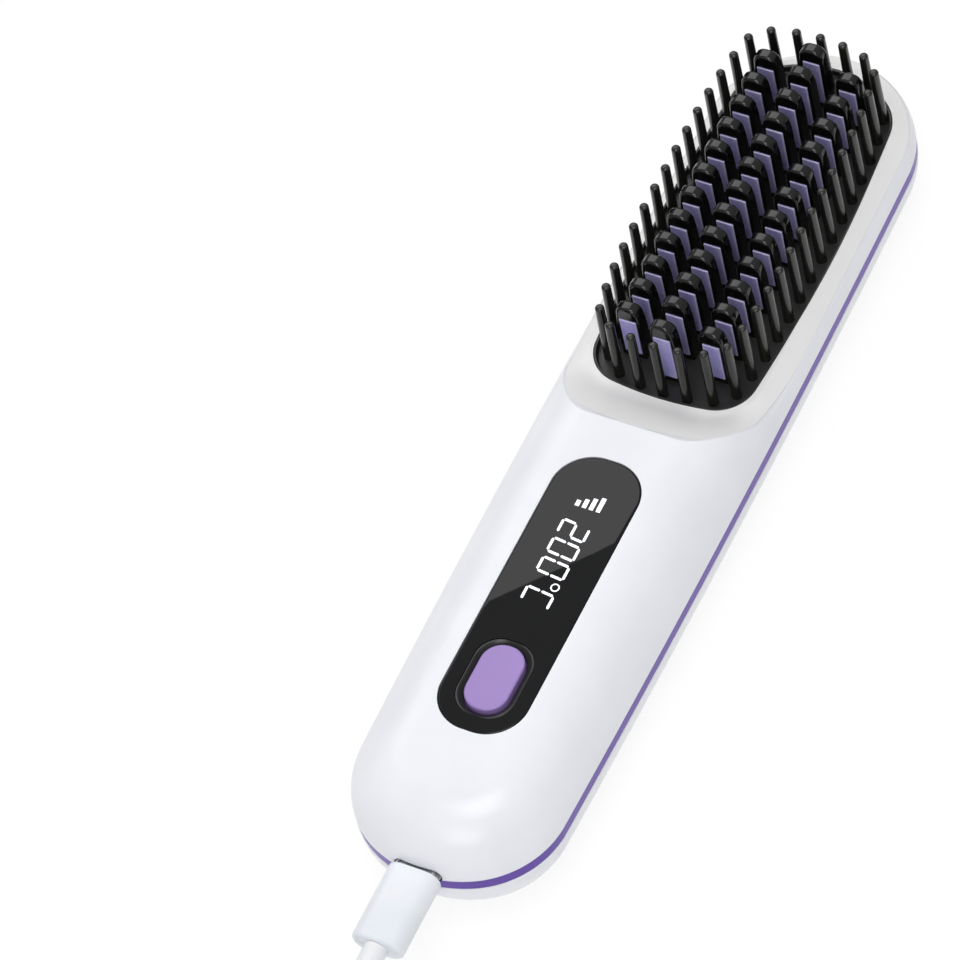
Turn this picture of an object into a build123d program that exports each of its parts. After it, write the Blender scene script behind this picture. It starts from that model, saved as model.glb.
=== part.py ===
from build123d import *
import math
import os

# Cordless hot comb: a slim straightening brush with a heated comb, a read-out,
# a power button and a USB-C charging cable. Millimetres.
# It lies on its back. X is across, Y runs from the tail to the head, and Z is up,
# the way the comb points. The origin is under the middle of the body, on the table.

os.makedirs("parts", exist_ok=True)

# ---- body ----
HALF_LENGTH = 95.5
HALF_WIDTH = 21.5
SIDE_RADIUS = 3200.0
BODY_TAIL = (HALF_LENGTH, 23.35, 18.5)    # reach from the middle, radius of the end's arc, of its corners
BODY_HEAD = (HALF_LENGTH, 21.25, 19.5)
WALL = 1.8
SEAM_BOTTOM = 12.6
SEAM_TOP = 14.7
CROWN_HEIGHT = 27.1
SHOULDER_RADIUS = 12.0

# ---- head ----
COMB_Y = 48.9                    # middle of the comb
DECK_Y = 46.3                    # where its deck is widest
DECK_HALF_WIDTH = 17.7
DECK_SIDE_RADIUS = 345.0
DECK_TAIL = (37.3, 64.0, 7.8)    # reach from DECK_Y, radius of the end's arc, radius of its corners
DECK_HEAD = (43.5, 20.7, 9.5)
RIM_HEIGHT = 22.1
DECK_HEIGHT = 20.7
BEVEL_WIDTH = HALF_WIDTH - DECK_HALF_WIDTH
RAMP_START = 8.8
RAMP_SLOPE = 0.562
BEZEL_LIP = 0.4
BEZEL_CORNER_RADIUS = 14.5
BEZEL_TAIL_Y = 0.3
BEZEL_THICKNESS = 2.2
LEDGE_DROP = 5.4                 # from the bezel's top to the underside of the ledge that it sits on
FLANGE_THICKNESS = 1.6
DECK_FLOOR = 1.6
DECK_LIP = 0.45                  # width of the thin rim round the deck
FLANGE_REACH = 1.4

# ---- comb ----
TOOTH_WIDTH = 4.4
TOOTH_THICKNESS = 2.5
TOOTH_COLUMN_X = 8.5
TOOTH_PITCH = 5.62
TOOTH_SETBACK = 0.9              # from a tooth's middle place back to its tail-facing side
SIDE_TEETH = 12
MIDDLE_TEETH = 13
SIDE_BLADE_TOP = 32.05
MIDDLE_BLADE_TOP = 34.0
GUARD_OVER_BLADE = 3.2
BLADE_WIDTH = 3.45
BLADE_PROUD = 0.25
BLADE_DEPTH = 1.15
BLADE_SETBACK = (BLADE_DEPTH - BLADE_PROUD) / 2
PLATE_BOTTOM = 16.6
PLATE_THICKNESS = 2.2
PIN_TIP_HEIGHT = 36.35
PIN_PITCH = 4.75
PIN_TIP_RADIUS = 0.9
PIN_FOOT_RADIUS = 1.05
PIN_LEAN = 0.3                   # how much further out a pin's foot stands than its tip
PIN_HALF_WIDTH = 15.0
PIN_SIDE_DRAW = 2.0              # how far the corner pins are drawn in towards the middle
PIN_ROW_END = 37.6
PIN_END_BOW = 0.36
PIN_END_PITCH = 4.8

# ---- read-out and button ----
WINDOW_WIDTH = 17.6
WINDOW_LENGTH = 61.7
WINDOW_Y = -40.25
WINDOW_CORNER = 7.76
BUTTON_WIDTH = 8.4
BUTTON_LENGTH = 14.05
BUTTON_CORNER = 3.67
BUTTON_Y = -59.4
BUTTON_TOP = CROWN_HEIGHT + 0.6
BUTTON_GAP = 0.35
BUTTON_TRAVEL = 0.5
BUTTON_EDGE_RADIUS = 0.6
RING_WIDTH = 11.7
RING_LENGTH = 16.8
RING_CORNER = 4.9
LENS_FLANGE_REACH = 0.8
BUTTON_FLANGE_REACH = 0.9
DISPLAY_BOARD_TOP = 21.7
DISPLAY_BOARD_THICKNESS = 1.0

# ---- battery and boards ----
CELL_RADIUS = 9.1
CELL_LENGTH = 65.0
CELL_X = 9.35
CELL_HEIGHT = 11.35
CELL_TAIL_Y = -68.0
MAIN_BOARD_TOP = 14.3
BOARD_THICKNESS = 1.6

# ---- charging cable ----
PORT_HEIGHT = 15.9
PLUG_FRONT_Y = -96.0
PLUG_LENGTH = 16.0
PLUG_WIDTH = 10.3
PLUG_THICKNESS = 5.8
CABLE_DIAMETER = 4.5
HANK_Y = -179.0                  # middle of the tied hank of spare cable
HANK_RUN = 46.0                  # straight part of its turns
HANK_HALF_WIDTH = 21.25
HANK_HOLE_HALF_WIDTH = HANK_HALF_WIDTH - 2 * CABLE_DIAMETER
HANK_BOTTOM = 0.5
HANK_HEIGHT = 3 * CABLE_DIAMETER
HANK_RIM_RADIUS = 2.0
TIE_THICKNESS = 0.5

SCREW_RADIUS = 0.9
SCREW_HEAD_RADIUS = 1.7
SCREW_HEAD_HEIGHT = 1.0


def bow_crossing(half_width, side_radius, half_length, end_radius, inset):
    """Where a bowed side crosses the arc across an end, both drawn in by inset (x, distance along Y)."""
    side_centre_x = half_width - side_radius
    arc_centre_y = half_length - end_radius
    side = side_radius - inset
    arc = end_radius - inset
    span = math.hypot(side_centre_x, arc_centre_y)
    along = (side**2 - arc**2 + span**2) / (2 * span)
    across = math.sqrt(side**2 - along**2)
    x = side_centre_x - (along * side_centre_x + across * arc_centre_y) / span
    y = (along * arc_centre_y - across * side_centre_x) / span
    return x, y


def bowed_plan(middle_y, half_width, side_radius, tail, head, inset):
    """A plan with bowed sides, an arc across each end and rounded corners, drawn in by inset."""
    tail_reach, tail_radius, tail_corner = tail
    head_reach, head_radius, head_corner = head
    tail_x, tail_y = bow_crossing(half_width, side_radius, tail_reach, tail_radius, inset)
    head_x, head_y = bow_crossing(half_width, side_radius, head_reach, head_radius, inset)
    tail_left = (-tail_x, middle_y - tail_y)
    tail_right = (tail_x, middle_y - tail_y)
    head_left = (-head_x, middle_y + head_y)
    head_right = (head_x, middle_y + head_y)
    with BuildSketch() as plan:
        with BuildLine():
            ThreePointArc(tail_left, (inset - half_width, middle_y), head_left)
            ThreePointArc(head_left, (0, middle_y + head_reach - inset), head_right)
            ThreePointArc(head_right, (half_width - inset, middle_y), tail_right)
            ThreePointArc(tail_right, (0, middle_y - tail_reach + inset), tail_left)
        make_face()
        fillet(plan.vertices().group_by(Axis.Y)[0], tail_corner - inset)
        fillet(plan.vertices().group_by(Axis.Y)[-1], head_corner - inset)
    return plan.sketch


def body_outline(inset=0.0):
    """Plan of the body, drawn in by inset."""
    return bowed_plan(0, HALF_WIDTH, SIDE_RADIUS, BODY_TAIL, BODY_HEAD, inset)


def deck_outline(inset=0.0):
    """Plan of the comb's deck, drawn in by inset."""
    return bowed_plan(DECK_Y, DECK_HALF_WIDTH, DECK_SIDE_RADIUS, DECK_TAIL, DECK_HEAD, inset)


def front_form(inset=0.0):
    """The front shell's outer form without the head's bevels, drawn in by inset."""
    with BuildPart() as form:
        with BuildSketch(Plane.XY.offset(SEAM_TOP)):
            add(body_outline(inset))
        extrude(amount=CROWN_HEIGHT - SEAM_TOP - inset)
        fillet(form.edges().group_by(Axis.Z)[-1], SHOULDER_RADIUS - inset)
    return form.part


def back_form(inset=0.0):
    """The back shell's outer form, drawn in by inset."""
    with BuildPart() as form:
        with BuildSketch(Plane.XY.offset(inset)):
            add(body_outline(inset))
        extrude(amount=SEAM_BOTTOM - inset)
        fillet(form.edges().group_by(Axis.Z)[0], SHOULDER_RADIUS - inset)
    return form.part


def under_head(drop=0.0, bevel=BEVEL_WIDTH):
    """All that lies under the head's top: a bevelled plateau, and a ramp that climbs to the handle."""
    low = 4.0
    top = RIM_HEIGHT - drop
    ramp_run = 20.0
    ramp_top = top + ramp_run * RAMP_SLOPE
    with BuildPart() as under:
        with BuildSketch(Plane.XY.offset(low)):
            add(body_outline())
        extrude(amount=top - low)
        if bevel:
            chamfer(under.edges().group_by(Axis.Z)[-1], bevel)
        with BuildSketch(Plane.YZ):
            with BuildLine():
                Polyline(
                    (RAMP_START, low),
                    (RAMP_START, top),
                    (RAMP_START - ramp_run, ramp_top),
                    (-HALF_LENGTH - 1, ramp_top),
                    (-HALF_LENGTH - 1, low),
                    close=True,
                )
            profile = make_face()
        extrude(amount=HALF_WIDTH - bevel)
        if bevel:
            edge_profile = profile.moved(Location((HALF_WIDTH - bevel, 0, 0)))
            extrude(edge_profile, amount=1.5 * bevel, dir=(1, 0, -1))
        mirror(about=Plane.YZ)
    return under.part


def comb_rows():
    """Tail-facing side (x, y) and blade top of every tooth: two side columns and a taller middle one."""
    rows = []
    for column_x in (-TOOTH_COLUMN_X, TOOTH_COLUMN_X):
        first = COMB_Y - TOOTH_SETBACK - TOOTH_PITCH * (SIDE_TEETH - 1) / 2
        for index in range(SIDE_TEETH):
            rows.append((column_x, first + TOOTH_PITCH * index, SIDE_BLADE_TOP))
    first = COMB_Y - TOOTH_SETBACK - TOOTH_PITCH * (MIDDLE_TEETH - 1) / 2
    for index in range(MIDDLE_TEETH):
        rows.append((0, first + TOOTH_PITCH * index, MIDDLE_BLADE_TOP))
    return rows


def pin_tips():
    """Plan positions of the spacer pins' tips, round the edge of the deck."""
    tips = []
    for step in range(-7, 8):
        half_width = PIN_HALF_WIDTH - PIN_SIDE_DRAW * (step / 7) ** 4
        tips.append((-half_width, COMB_Y + PIN_PITCH * step))
        tips.append((half_width, COMB_Y + PIN_PITCH * step))
    for step in range(-2, 3):
        reach = PIN_ROW_END - PIN_END_BOW * step**2
        tips.append((PIN_END_PITCH * step, COMB_Y - reach))
        tips.append((PIN_END_PITCH * step, COMB_Y + reach))
    return tips


def screw(position, length, upward=True):
    """A pan-head screw with its head against position and its shank pointing up, or down."""
    towards_tip = (Align.CENTER, Align.CENTER, Align.MIN if upward else Align.MAX)
    towards_head = (Align.CENTER, Align.CENTER, Align.MAX if upward else Align.MIN)
    with Locations(position):
        Cylinder(SCREW_HEAD_RADIUS, SCREW_HEAD_HEIGHT, align=towards_head)
        Cylinder(SCREW_RADIUS, length, align=towards_tip)


def finish(piece, label):
    """Names a finished piece and writes its file."""
    piece.part.label = label
    export_step(piece.part, "parts/" + label + ".step")


# ---- shells ----
PORT_OPENING_WIDTH = 9.6
PORT_OPENING_HEIGHT = 3.8
MAIN_POSTS = [(-9.5, -77.0), (9.5, -77.0)]
HOLDER_POSTS = [(0, -73.0), (0, 2.0)]
HOLDER_EAR_HEIGHT = 6.8
DISPLAY_POSTS = [(0, -76.5), (0, -4.6)]
POST_RADIUS = 2.2
POST_ROOT = 0.3                  # how far a post reaches into the wall that it stands on
MAIN_POST_TOP = MAIN_BOARD_TOP - BOARD_THICKNESS
SKIN = 0.2

with BuildPart() as port_cutter:
    with BuildSketch(Plane.XZ.offset(HALF_LENGTH - 6)):
        with Locations((0, PORT_HEIGHT)):
            SlotOverall(PORT_OPENING_WIDTH, PORT_OPENING_HEIGHT)
    extrude(amount=8)

with BuildPart() as back_cover:
    add(back_form())
    add(back_form(WALL), mode=Mode.SUBTRACT)
    for posts, top, hole_depth in (
        (MAIN_POSTS, MAIN_POST_TOP, 6.2),
        (HOLDER_POSTS, HOLDER_EAR_HEIGHT, 4.2),
    ):
        with BuildSketch(Plane.XY.offset(WALL - POST_ROOT)):
            with Locations(*posts):
                Circle(POST_RADIUS)
        extrude(amount=top - WALL + POST_ROOT)
        with Locations(*[(x, y, top) for x, y in posts]):
            Hole(SCREW_RADIUS, depth=hole_depth)
finish(back_cover, "back_cover")

with BuildPart() as bezel_blank:
    add(front_form(BEZEL_LIP))
    add(under_head(), mode=Mode.INTERSECT)
    add(under_head(BEZEL_THICKNESS), mode=Mode.SUBTRACT)
    with BuildSketch():
        with Locations((0, BEZEL_TAIL_Y + HALF_LENGTH)):
            RectangleRounded(2 * HALF_WIDTH, 2 * HALF_LENGTH, BEZEL_CORNER_RADIUS)
    extrude(amount=CROWN_HEIGHT, mode=Mode.INTERSECT)

with BuildPart() as front_cavity:
    add(front_form(WALL))
    add(under_head(LEDGE_DROP, bevel=0), mode=Mode.INTERSECT)

with BuildPart() as front_cover:
    add(front_form())
    add(under_head(), mode=Mode.INTERSECT)
    add(front_cavity.part, mode=Mode.SUBTRACT)
    add(bezel_blank.part, mode=Mode.SUBTRACT)
    with BuildSketch(Plane.XY.offset(SEAM_TOP)):
        add(deck_outline())
    extrude(amount=20, mode=Mode.SUBTRACT)
    with BuildSketch(Plane.XY.offset(CROWN_HEIGHT + 1)):
        with Locations((0, WINDOW_Y)):
            RectangleRounded(WINDOW_WIDTH, WINDOW_LENGTH, WINDOW_CORNER)
    extrude(amount=-WALL - 2, mode=Mode.SUBTRACT)
    with BuildSketch(Plane.XY.offset(DISPLAY_BOARD_TOP)):
        with Locations(*DISPLAY_POSTS):
            Circle(POST_RADIUS)
            Circle(SCREW_RADIUS, mode=Mode.SUBTRACT)
    extrude(amount=CROWN_HEIGHT - WALL - DISPLAY_BOARD_TOP + SKIN)
    add(port_cutter.part, mode=Mode.SUBTRACT)
finish(front_cover, "front_cover")

with BuildPart() as head_bezel:
    add(bezel_blank.part)
    with BuildSketch(Plane.XY.offset(SEAM_TOP)):
        add(deck_outline())
    extrude(amount=20, mode=Mode.SUBTRACT)
finish(head_bezel, "head_bezel")

TRIM_RECESS = 0.15
TRIM_DEPTH = 1.55
with BuildPart() as side_trim:
    with BuildSketch(Plane.XY.offset(SEAM_BOTTOM)):
        add(body_outline(TRIM_RECESS))
        add(body_outline(TRIM_RECESS + TRIM_DEPTH), mode=Mode.SUBTRACT)
    extrude(amount=SEAM_TOP - SEAM_BOTTOM)
    add(port_cutter.part, mode=Mode.SUBTRACT)
finish(side_trim, "side_trim")

# ---- read-out and button ----
LENS_TOP = CROWN_HEIGHT - 0.05
LENS_SEAT = LENS_TOP - WALL
LENS_FLANGE_BOTTOM = LENS_SEAT - 0.55
RING_FLANGE_BOTTOM = LENS_FLANGE_BOTTOM - 0.6
RING_TOP = LENS_TOP - 0.1
RING_BEVEL_DROP = 0.7
RING_BEVEL_WIDTH = 0.9
with BuildPart() as display_window:
    with BuildSketch(Plane.XY.offset(LENS_SEAT)):
        with Locations((0, WINDOW_Y)):
            RectangleRounded(WINDOW_WIDTH, WINDOW_LENGTH, WINDOW_CORNER)
    extrude(amount=LENS_TOP - LENS_SEAT)
    with BuildSketch(Plane.XY.offset(LENS_FLANGE_BOTTOM)):
        with Locations((0, WINDOW_Y)):
            RectangleRounded(
                WINDOW_WIDTH + 2 * LENS_FLANGE_REACH,
                WINDOW_LENGTH + 2 * LENS_FLANGE_REACH,
                WINDOW_CORNER + LENS_FLANGE_REACH,
            )
    extrude(amount=LENS_SEAT - LENS_FLANGE_BOTTOM)
    with BuildSketch(Plane.XY.offset(LENS_FLANGE_BOTTOM)):
        with Locations((0, BUTTON_Y)):
            RectangleRounded(RING_WIDTH, RING_LENGTH, RING_CORNER)
    extrude(amount=5, mode=Mode.SUBTRACT)
finish(display_window, "display_window")

with BuildPart() as button_ring:
    with BuildSketch(Plane.XY.offset(RING_FLANGE_BOTTOM)):
        with Locations((0, BUTTON_Y)):
            RectangleRounded(
                RING_WIDTH + 2 * LENS_FLANGE_REACH,
                RING_LENGTH + 2 * LENS_FLANGE_REACH,
                RING_CORNER + LENS_FLANGE_REACH,
            )
    extrude(amount=LENS_FLANGE_BOTTOM - RING_FLANGE_BOTTOM)
    with BuildSketch(Plane.XY.offset(LENS_FLANGE_BOTTOM)):
        with Locations((0, BUTTON_Y)):
            RectangleRounded(RING_WIDTH, RING_LENGTH, RING_CORNER)
    extrude(amount=RING_TOP - LENS_FLANGE_BOTTOM)
    with BuildSketch(Plane.XY.offset(RING_FLANGE_BOTTOM)):
        with Locations((0, BUTTON_Y)):
            RectangleRounded(
                BUTTON_WIDTH + 2 * BUTTON_GAP, BUTTON_LENGTH + 2 * BUTTON_GAP, BUTTON_CORNER + BUTTON_GAP
            )
    extrude(amount=5, mode=Mode.SUBTRACT)
    inner_edges = button_ring.faces().sort_by(Axis.Z)[-1].inner_wires()[0].edges()
    chamfer(inner_edges, RING_BEVEL_DROP, RING_BEVEL_WIDTH)
finish(button_ring, "button_ring")

FLANGE_TOP = RING_FLANGE_BOTTOM - 0.1
BUTTON_FLANGE = 0.7
PLUNGER_BOTTOM = FLANGE_TOP - BUTTON_FLANGE - 0.25
PLUNGER_RADIUS = 1.4
with BuildPart() as power_button:
    with BuildSketch(Plane.XY.offset(FLANGE_TOP)):
        with Locations((0, BUTTON_Y)):
            RectangleRounded(BUTTON_WIDTH, BUTTON_LENGTH, BUTTON_CORNER)
    extrude(amount=BUTTON_TOP - FLANGE_TOP)
    fillet(power_button.edges().group_by(Axis.Z)[-1], BUTTON_EDGE_RADIUS)
    with BuildSketch(Plane.XY.offset(FLANGE_TOP - BUTTON_FLANGE)):
        with Locations((0, BUTTON_Y)):
            RectangleRounded(
                BUTTON_WIDTH + 2 * BUTTON_FLANGE_REACH,
                BUTTON_LENGTH + 2 * BUTTON_FLANGE_REACH,
                BUTTON_CORNER + BUTTON_FLANGE_REACH,
            )
    extrude(amount=BUTTON_FLANGE)
    with BuildSketch(Plane.XY.offset(PLUNGER_BOTTOM)):
        with Locations((0, BUTTON_Y)):
            Circle(PLUNGER_RADIUS)
    extrude(amount=FLANGE_TOP - BUTTON_FLANGE - PLUNGER_BOTTOM)
finish(power_button, "power_button")

DISPLAY_BOARD_HEAD_Y = -2.0
DISPLAY_BOARD_TAIL_Y = -79.0
DISPLAY_BOARD_BOTTOM = DISPLAY_BOARD_TOP - DISPLAY_BOARD_THICKNESS
DISPLAY_BOARD_WIDTH = 26.0
with BuildPart() as display_board:
    with BuildSketch(Plane.XY.offset(DISPLAY_BOARD_BOTTOM)):
        with Locations((0, (DISPLAY_BOARD_HEAD_Y + DISPLAY_BOARD_TAIL_Y) / 2)):
            RectangleRounded(DISPLAY_BOARD_WIDTH, DISPLAY_BOARD_HEAD_Y - DISPLAY_BOARD_TAIL_Y, 3)
        with Locations(*DISPLAY_POSTS):
            Circle(SCREW_RADIUS, mode=Mode.SUBTRACT)
    extrude(amount=DISPLAY_BOARD_THICKNESS)
finish(display_board, "display_board")

MODULE_Y = -29.0
MODULE_WIDTH = 14.0
MODULE_LENGTH = 32.0
MODULE_THICKNESS = 2.7
with BuildPart() as display_module:
    with BuildSketch(Plane.XY.offset(DISPLAY_BOARD_TOP)):
        with Locations((0, MODULE_Y)):
            RectangleRounded(MODULE_WIDTH, MODULE_LENGTH, 0.8)
    extrude(amount=MODULE_THICKNESS)
finish(display_module, "display_module")

TACT_TOP = PLUNGER_BOTTOM - BUTTON_TRAVEL - 0.1
TACT_SIZE = 5.2
TACT_CAP_RADIUS = 1.6
TACT_CAP_HEIGHT = 0.15
with BuildPart() as tact_switch:
    with BuildSketch(Plane.XY.offset(DISPLAY_BOARD_TOP)):
        with Locations((0, BUTTON_Y)):
            RectangleRounded(TACT_SIZE, TACT_SIZE, 0.5)
    extrude(amount=TACT_TOP - DISPLAY_BOARD_TOP - TACT_CAP_HEIGHT)
    with BuildSketch(Plane.XY.offset(TACT_TOP - TACT_CAP_HEIGHT)):
        with Locations((0, BUTTON_Y)):
            Circle(TACT_CAP_RADIUS)
    extrude(amount=TACT_CAP_HEIGHT)
finish(tact_switch, "tact_switch")

with BuildPart() as display_screws:
    for x, y in DISPLAY_POSTS:
        screw((x, y, DISPLAY_BOARD_BOTTOM), 3.0)
finish(display_screws, "display_screws")

# ---- comb ----
FLANGE_BOTTOM = RIM_HEIGHT - LEDGE_DROP - FLANGE_THICKNESS
BOSS_X = 12.4
BOSS_OFFSET_Y = 33.2
BOSS_BOTTOM = 13.5
BOSS_RADIUS = 1.9
BOSS_HOLE_DEPTH = 4.5
COMB_BOSSES = [(x, COMB_Y + y) for x in (-BOSS_X, BOSS_X) for y in (-BOSS_OFFSET_Y, BOSS_OFFSET_Y)]
with BuildPart() as comb_deck:
    with BuildSketch(Plane.XY.offset(FLANGE_BOTTOM)):
        add(deck_outline(-FLANGE_REACH))
        add(body_outline(WALL + 0.5), mode=Mode.INTERSECT)
    extrude(amount=FLANGE_THICKNESS)
    with BuildSketch(Plane.XY.offset(RIM_HEIGHT - LEDGE_DROP)):
        add(deck_outline())
    extrude(amount=LEDGE_DROP)
    with BuildSketch(Plane.XY.offset(DECK_HEIGHT)):
        add(deck_outline(DECK_LIP))
    extrude(amount=4, mode=Mode.SUBTRACT)
    with BuildSketch(Plane.XY.offset(FLANGE_BOTTOM)):
        add(deck_outline(DECK_FLOOR))
    extrude(amount=DECK_HEIGHT - DECK_FLOOR - FLANGE_BOTTOM, mode=Mode.SUBTRACT)
    with BuildSketch(Plane.XY.offset(BOSS_BOTTOM)):
        with Locations(*COMB_BOSSES):
            Circle(BOSS_RADIUS)
    extrude(amount=DECK_HEIGHT - DECK_FLOOR - BOSS_BOTTOM)
    with BuildSketch(Plane.XY.offset(BOSS_BOTTOM)):
        with Locations(*COMB_BOSSES):
            Circle(SCREW_RADIUS)
    extrude(amount=BOSS_HOLE_DEPTH, mode=Mode.SUBTRACT)
    with BuildSketch(Plane.XY.offset(DECK_HEIGHT - DECK_FLOOR - SKIN)):
        with Locations(*[(x, y + BLADE_SETBACK) for x, y, _ in comb_rows()]):
            Rectangle(BLADE_WIDTH, BLADE_DEPTH + BLADE_PROUD)
    extrude(amount=DECK_FLOOR + 2 * SKIN, mode=Mode.SUBTRACT)
finish(comb_deck, "comb_deck")

PIN_HEIGHT = PIN_TIP_HEIGHT - DECK_HEIGHT
with BuildPart() as comb_pin:
    with BuildSketch(Plane.XZ):
        with BuildLine():
            Line((0, PIN_HEIGHT), (0, 0))
            Line((0, 0), (PIN_FOOT_RADIUS, 0))
            Line((PIN_FOOT_RADIUS, 0), (PIN_TIP_RADIUS, PIN_HEIGHT - PIN_TIP_RADIUS))
            CenterArc((0, PIN_HEIGHT - PIN_TIP_RADIUS), PIN_TIP_RADIUS, 0, 90)
        make_face()
    revolve(axis=Axis.Z)

with BuildPart() as comb_pins:
    for x, y in pin_tips():
        reach = math.hypot(x, y - COMB_Y)
        lean_x = PIN_LEAN * x / reach
        lean_y = PIN_LEAN * (y - COMB_Y) / reach
        foot = (x + lean_x, y + lean_y, DECK_HEIGHT + 0.03)
        with Locations(Plane(origin=foot, z_dir=(-lean_x, -lean_y, PIN_HEIGHT))):
            add(comb_pin.part)
finish(comb_pins, "comb_pins")

with BuildPart() as tooth_guards:
    for x, y, blade_top in comb_rows():
        guard_height = blade_top + GUARD_OVER_BLADE - DECK_HEIGHT
        with BuildSketch(Plane.XZ.offset(-y)):
            with Locations((x, DECK_HEIGHT + (guard_height - TOOTH_WIDTH / 2) / 2)):
                Rectangle(TOOTH_WIDTH, guard_height - TOOTH_WIDTH / 2)
            with Locations((x, DECK_HEIGHT + guard_height - TOOTH_WIDTH / 2)):
                Circle(TOOTH_WIDTH / 2)
        extrude(amount=-TOOTH_THICKNESS)
        with BuildSketch(Plane.XZ.offset(-y)):
            with Locations((x, (blade_top + DECK_HEIGHT) / 2)):
                Rectangle(BLADE_WIDTH, blade_top - DECK_HEIGHT)
        extrude(amount=-BLADE_DEPTH, mode=Mode.SUBTRACT)
finish(tooth_guards, "tooth_guards")

PLATE_HALF_WIDTH = 14.4
PLATE_HALF_LENGTH = 36.0
PLATE_CORNER = 8.0
with BuildPart() as heating_plate:
    with BuildSketch(Plane.XY.offset(PLATE_BOTTOM)) as plate_plan:
        with Locations((0, COMB_Y)):
            Rectangle(2 * PLATE_HALF_WIDTH, 2 * PLATE_HALF_LENGTH)
        chamfer(plate_plan.vertices(), PLATE_CORNER)
    extrude(amount=PLATE_THICKNESS)
    for x, y, blade_top in comb_rows():
        with BuildSketch(Plane.XY.offset(PLATE_BOTTOM + PLATE_THICKNESS)):
            with Locations((x, y + BLADE_SETBACK)):
                Rectangle(BLADE_WIDTH, BLADE_DEPTH + BLADE_PROUD)
        extrude(amount=blade_top - PLATE_BOTTOM - PLATE_THICKNESS)
finish(heating_plate, "heating_plate")

# ---- heater under the plate ----
ELEMENT_THICKNESS = 1.6
ELEMENT_WIDTH = 8.0
ELEMENT_LENGTH = 60.0
ELEMENT_X = 5.6
FILM_THICKNESS = 0.3
FILM_WIDTH = 21.0
CLAMP_THICKNESS = 1.2
CLAMP_WIDTH = 21.0
CLAMP_LENGTH = 62.0
CLAMP_HOLE_RADIUS = 3.0
with BuildPart() as heater_element:
    with BuildSketch(Plane.XY.offset(PLATE_BOTTOM - ELEMENT_THICKNESS)):
        with Locations((-ELEMENT_X, COMB_Y), (ELEMENT_X, COMB_Y)):
            Rectangle(ELEMENT_WIDTH, ELEMENT_LENGTH)
    extrude(amount=ELEMENT_THICKNESS)
finish(heater_element, "heater_element")

with BuildPart() as heater_insulation:
    with BuildSketch(Plane.XY.offset(PLATE_BOTTOM - ELEMENT_THICKNESS - FILM_THICKNESS)):
        with Locations((0, COMB_Y)):
            Rectangle(FILM_WIDTH, CLAMP_LENGTH)
    extrude(amount=FILM_THICKNESS)
finish(heater_insulation, "heater_insulation")

with BuildPart() as heater_clamp:
    with BuildSketch(Plane.XY.offset(BOSS_BOTTOM)):
        with Locations((0, COMB_Y)):
            RectangleRounded(CLAMP_WIDTH, CLAMP_LENGTH, 2)
        with GridLocations(0, 20, 1, 3):
            with Locations((0, COMB_Y)):
                Circle(CLAMP_HOLE_RADIUS, mode=Mode.SUBTRACT)
    extrude(amount=CLAMP_THICKNESS)
finish(heater_clamp, "heater_clamp")

TRAY_THICKNESS = 1.6
TRAY_WIDTH = 31.0
HEATER_TRAY_LENGTH = 74.4
TRAY_RAIL_X = 13.2
TRAY_RAIL_WIDTH = 1.6
TRAY_RAIL_LENGTH = 56.0
with BuildPart() as heater_tray:
    with BuildSketch(Plane.XY.offset(BOSS_BOTTOM - TRAY_THICKNESS)):
        with Locations((0, COMB_Y)):
            RectangleRounded(TRAY_WIDTH, HEATER_TRAY_LENGTH, 3)
        with Locations(*COMB_BOSSES):
            Circle(SCREW_RADIUS, mode=Mode.SUBTRACT)
    extrude(amount=TRAY_THICKNESS)
    with BuildSketch(Plane.XY.offset(BOSS_BOTTOM)):
        with Locations((-TRAY_RAIL_X, COMB_Y), (TRAY_RAIL_X, COMB_Y)):
            Rectangle(TRAY_RAIL_WIDTH, TRAY_RAIL_LENGTH)
    extrude(amount=PLATE_BOTTOM - BOSS_BOTTOM)
finish(heater_tray, "heater_tray")

with BuildPart() as comb_screws:
    for x, y in COMB_BOSSES:
        screw((x, y, BOSS_BOTTOM - TRAY_THICKNESS), 5.8)
finish(comb_screws, "comb_screws")

BEAD_RADIUS = 0.75
BEAD_HEIGHT = PLATE_BOTTOM - ELEMENT_THICKNESS / 2
with BuildPart() as thermistor:
    with Locations(Location((0, COMB_Y - 20, BEAD_HEIGHT), (90, 0, 0))):
        Cylinder(BEAD_RADIUS, 6)
finish(thermistor, "thermistor")

with BuildPart() as thermal_fuse:
    with Locations(Location((0, COMB_Y + 18, BEAD_HEIGHT), (90, 0, 0))):
        Cylinder(BEAD_RADIUS, 11)
finish(thermal_fuse, "thermal_fuse")

# ---- battery ----
CELL_MIDDLE_Y = CELL_TAIL_Y + CELL_LENGTH / 2
STRAP_THICKNESS = 0.3
STRAP_WIDTH = 7.0
END_PLATE = 1.6
END_PLATE_WIDTH = 34.0
END_PLATE_HEIGHT = 16.0
with BuildPart() as battery_cells:
    with Locations(
        Location((-CELL_X, CELL_MIDDLE_Y, CELL_HEIGHT), (90, 0, 0)),
        Location((CELL_X, CELL_MIDDLE_Y, CELL_HEIGHT), (90, 0, 0)),
    ):
        Cylinder(CELL_RADIUS, CELL_LENGTH)
    fillet(battery_cells.edges().filter_by(GeomType.CIRCLE), 0.8)
finish(battery_cells, "battery_cells")

with BuildPart() as battery_straps:
    for strap_y in (CELL_TAIL_Y - STRAP_THICKNESS, CELL_TAIL_Y + CELL_LENGTH):
        with BuildSketch(Plane.XZ.offset(-strap_y - STRAP_THICKNESS)):
            with Locations((0, CELL_HEIGHT)):
                RectangleRounded(2 * CELL_X + STRAP_WIDTH, STRAP_WIDTH, 1)
        extrude(amount=STRAP_THICKNESS)
finish(battery_straps, "battery_straps")

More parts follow.
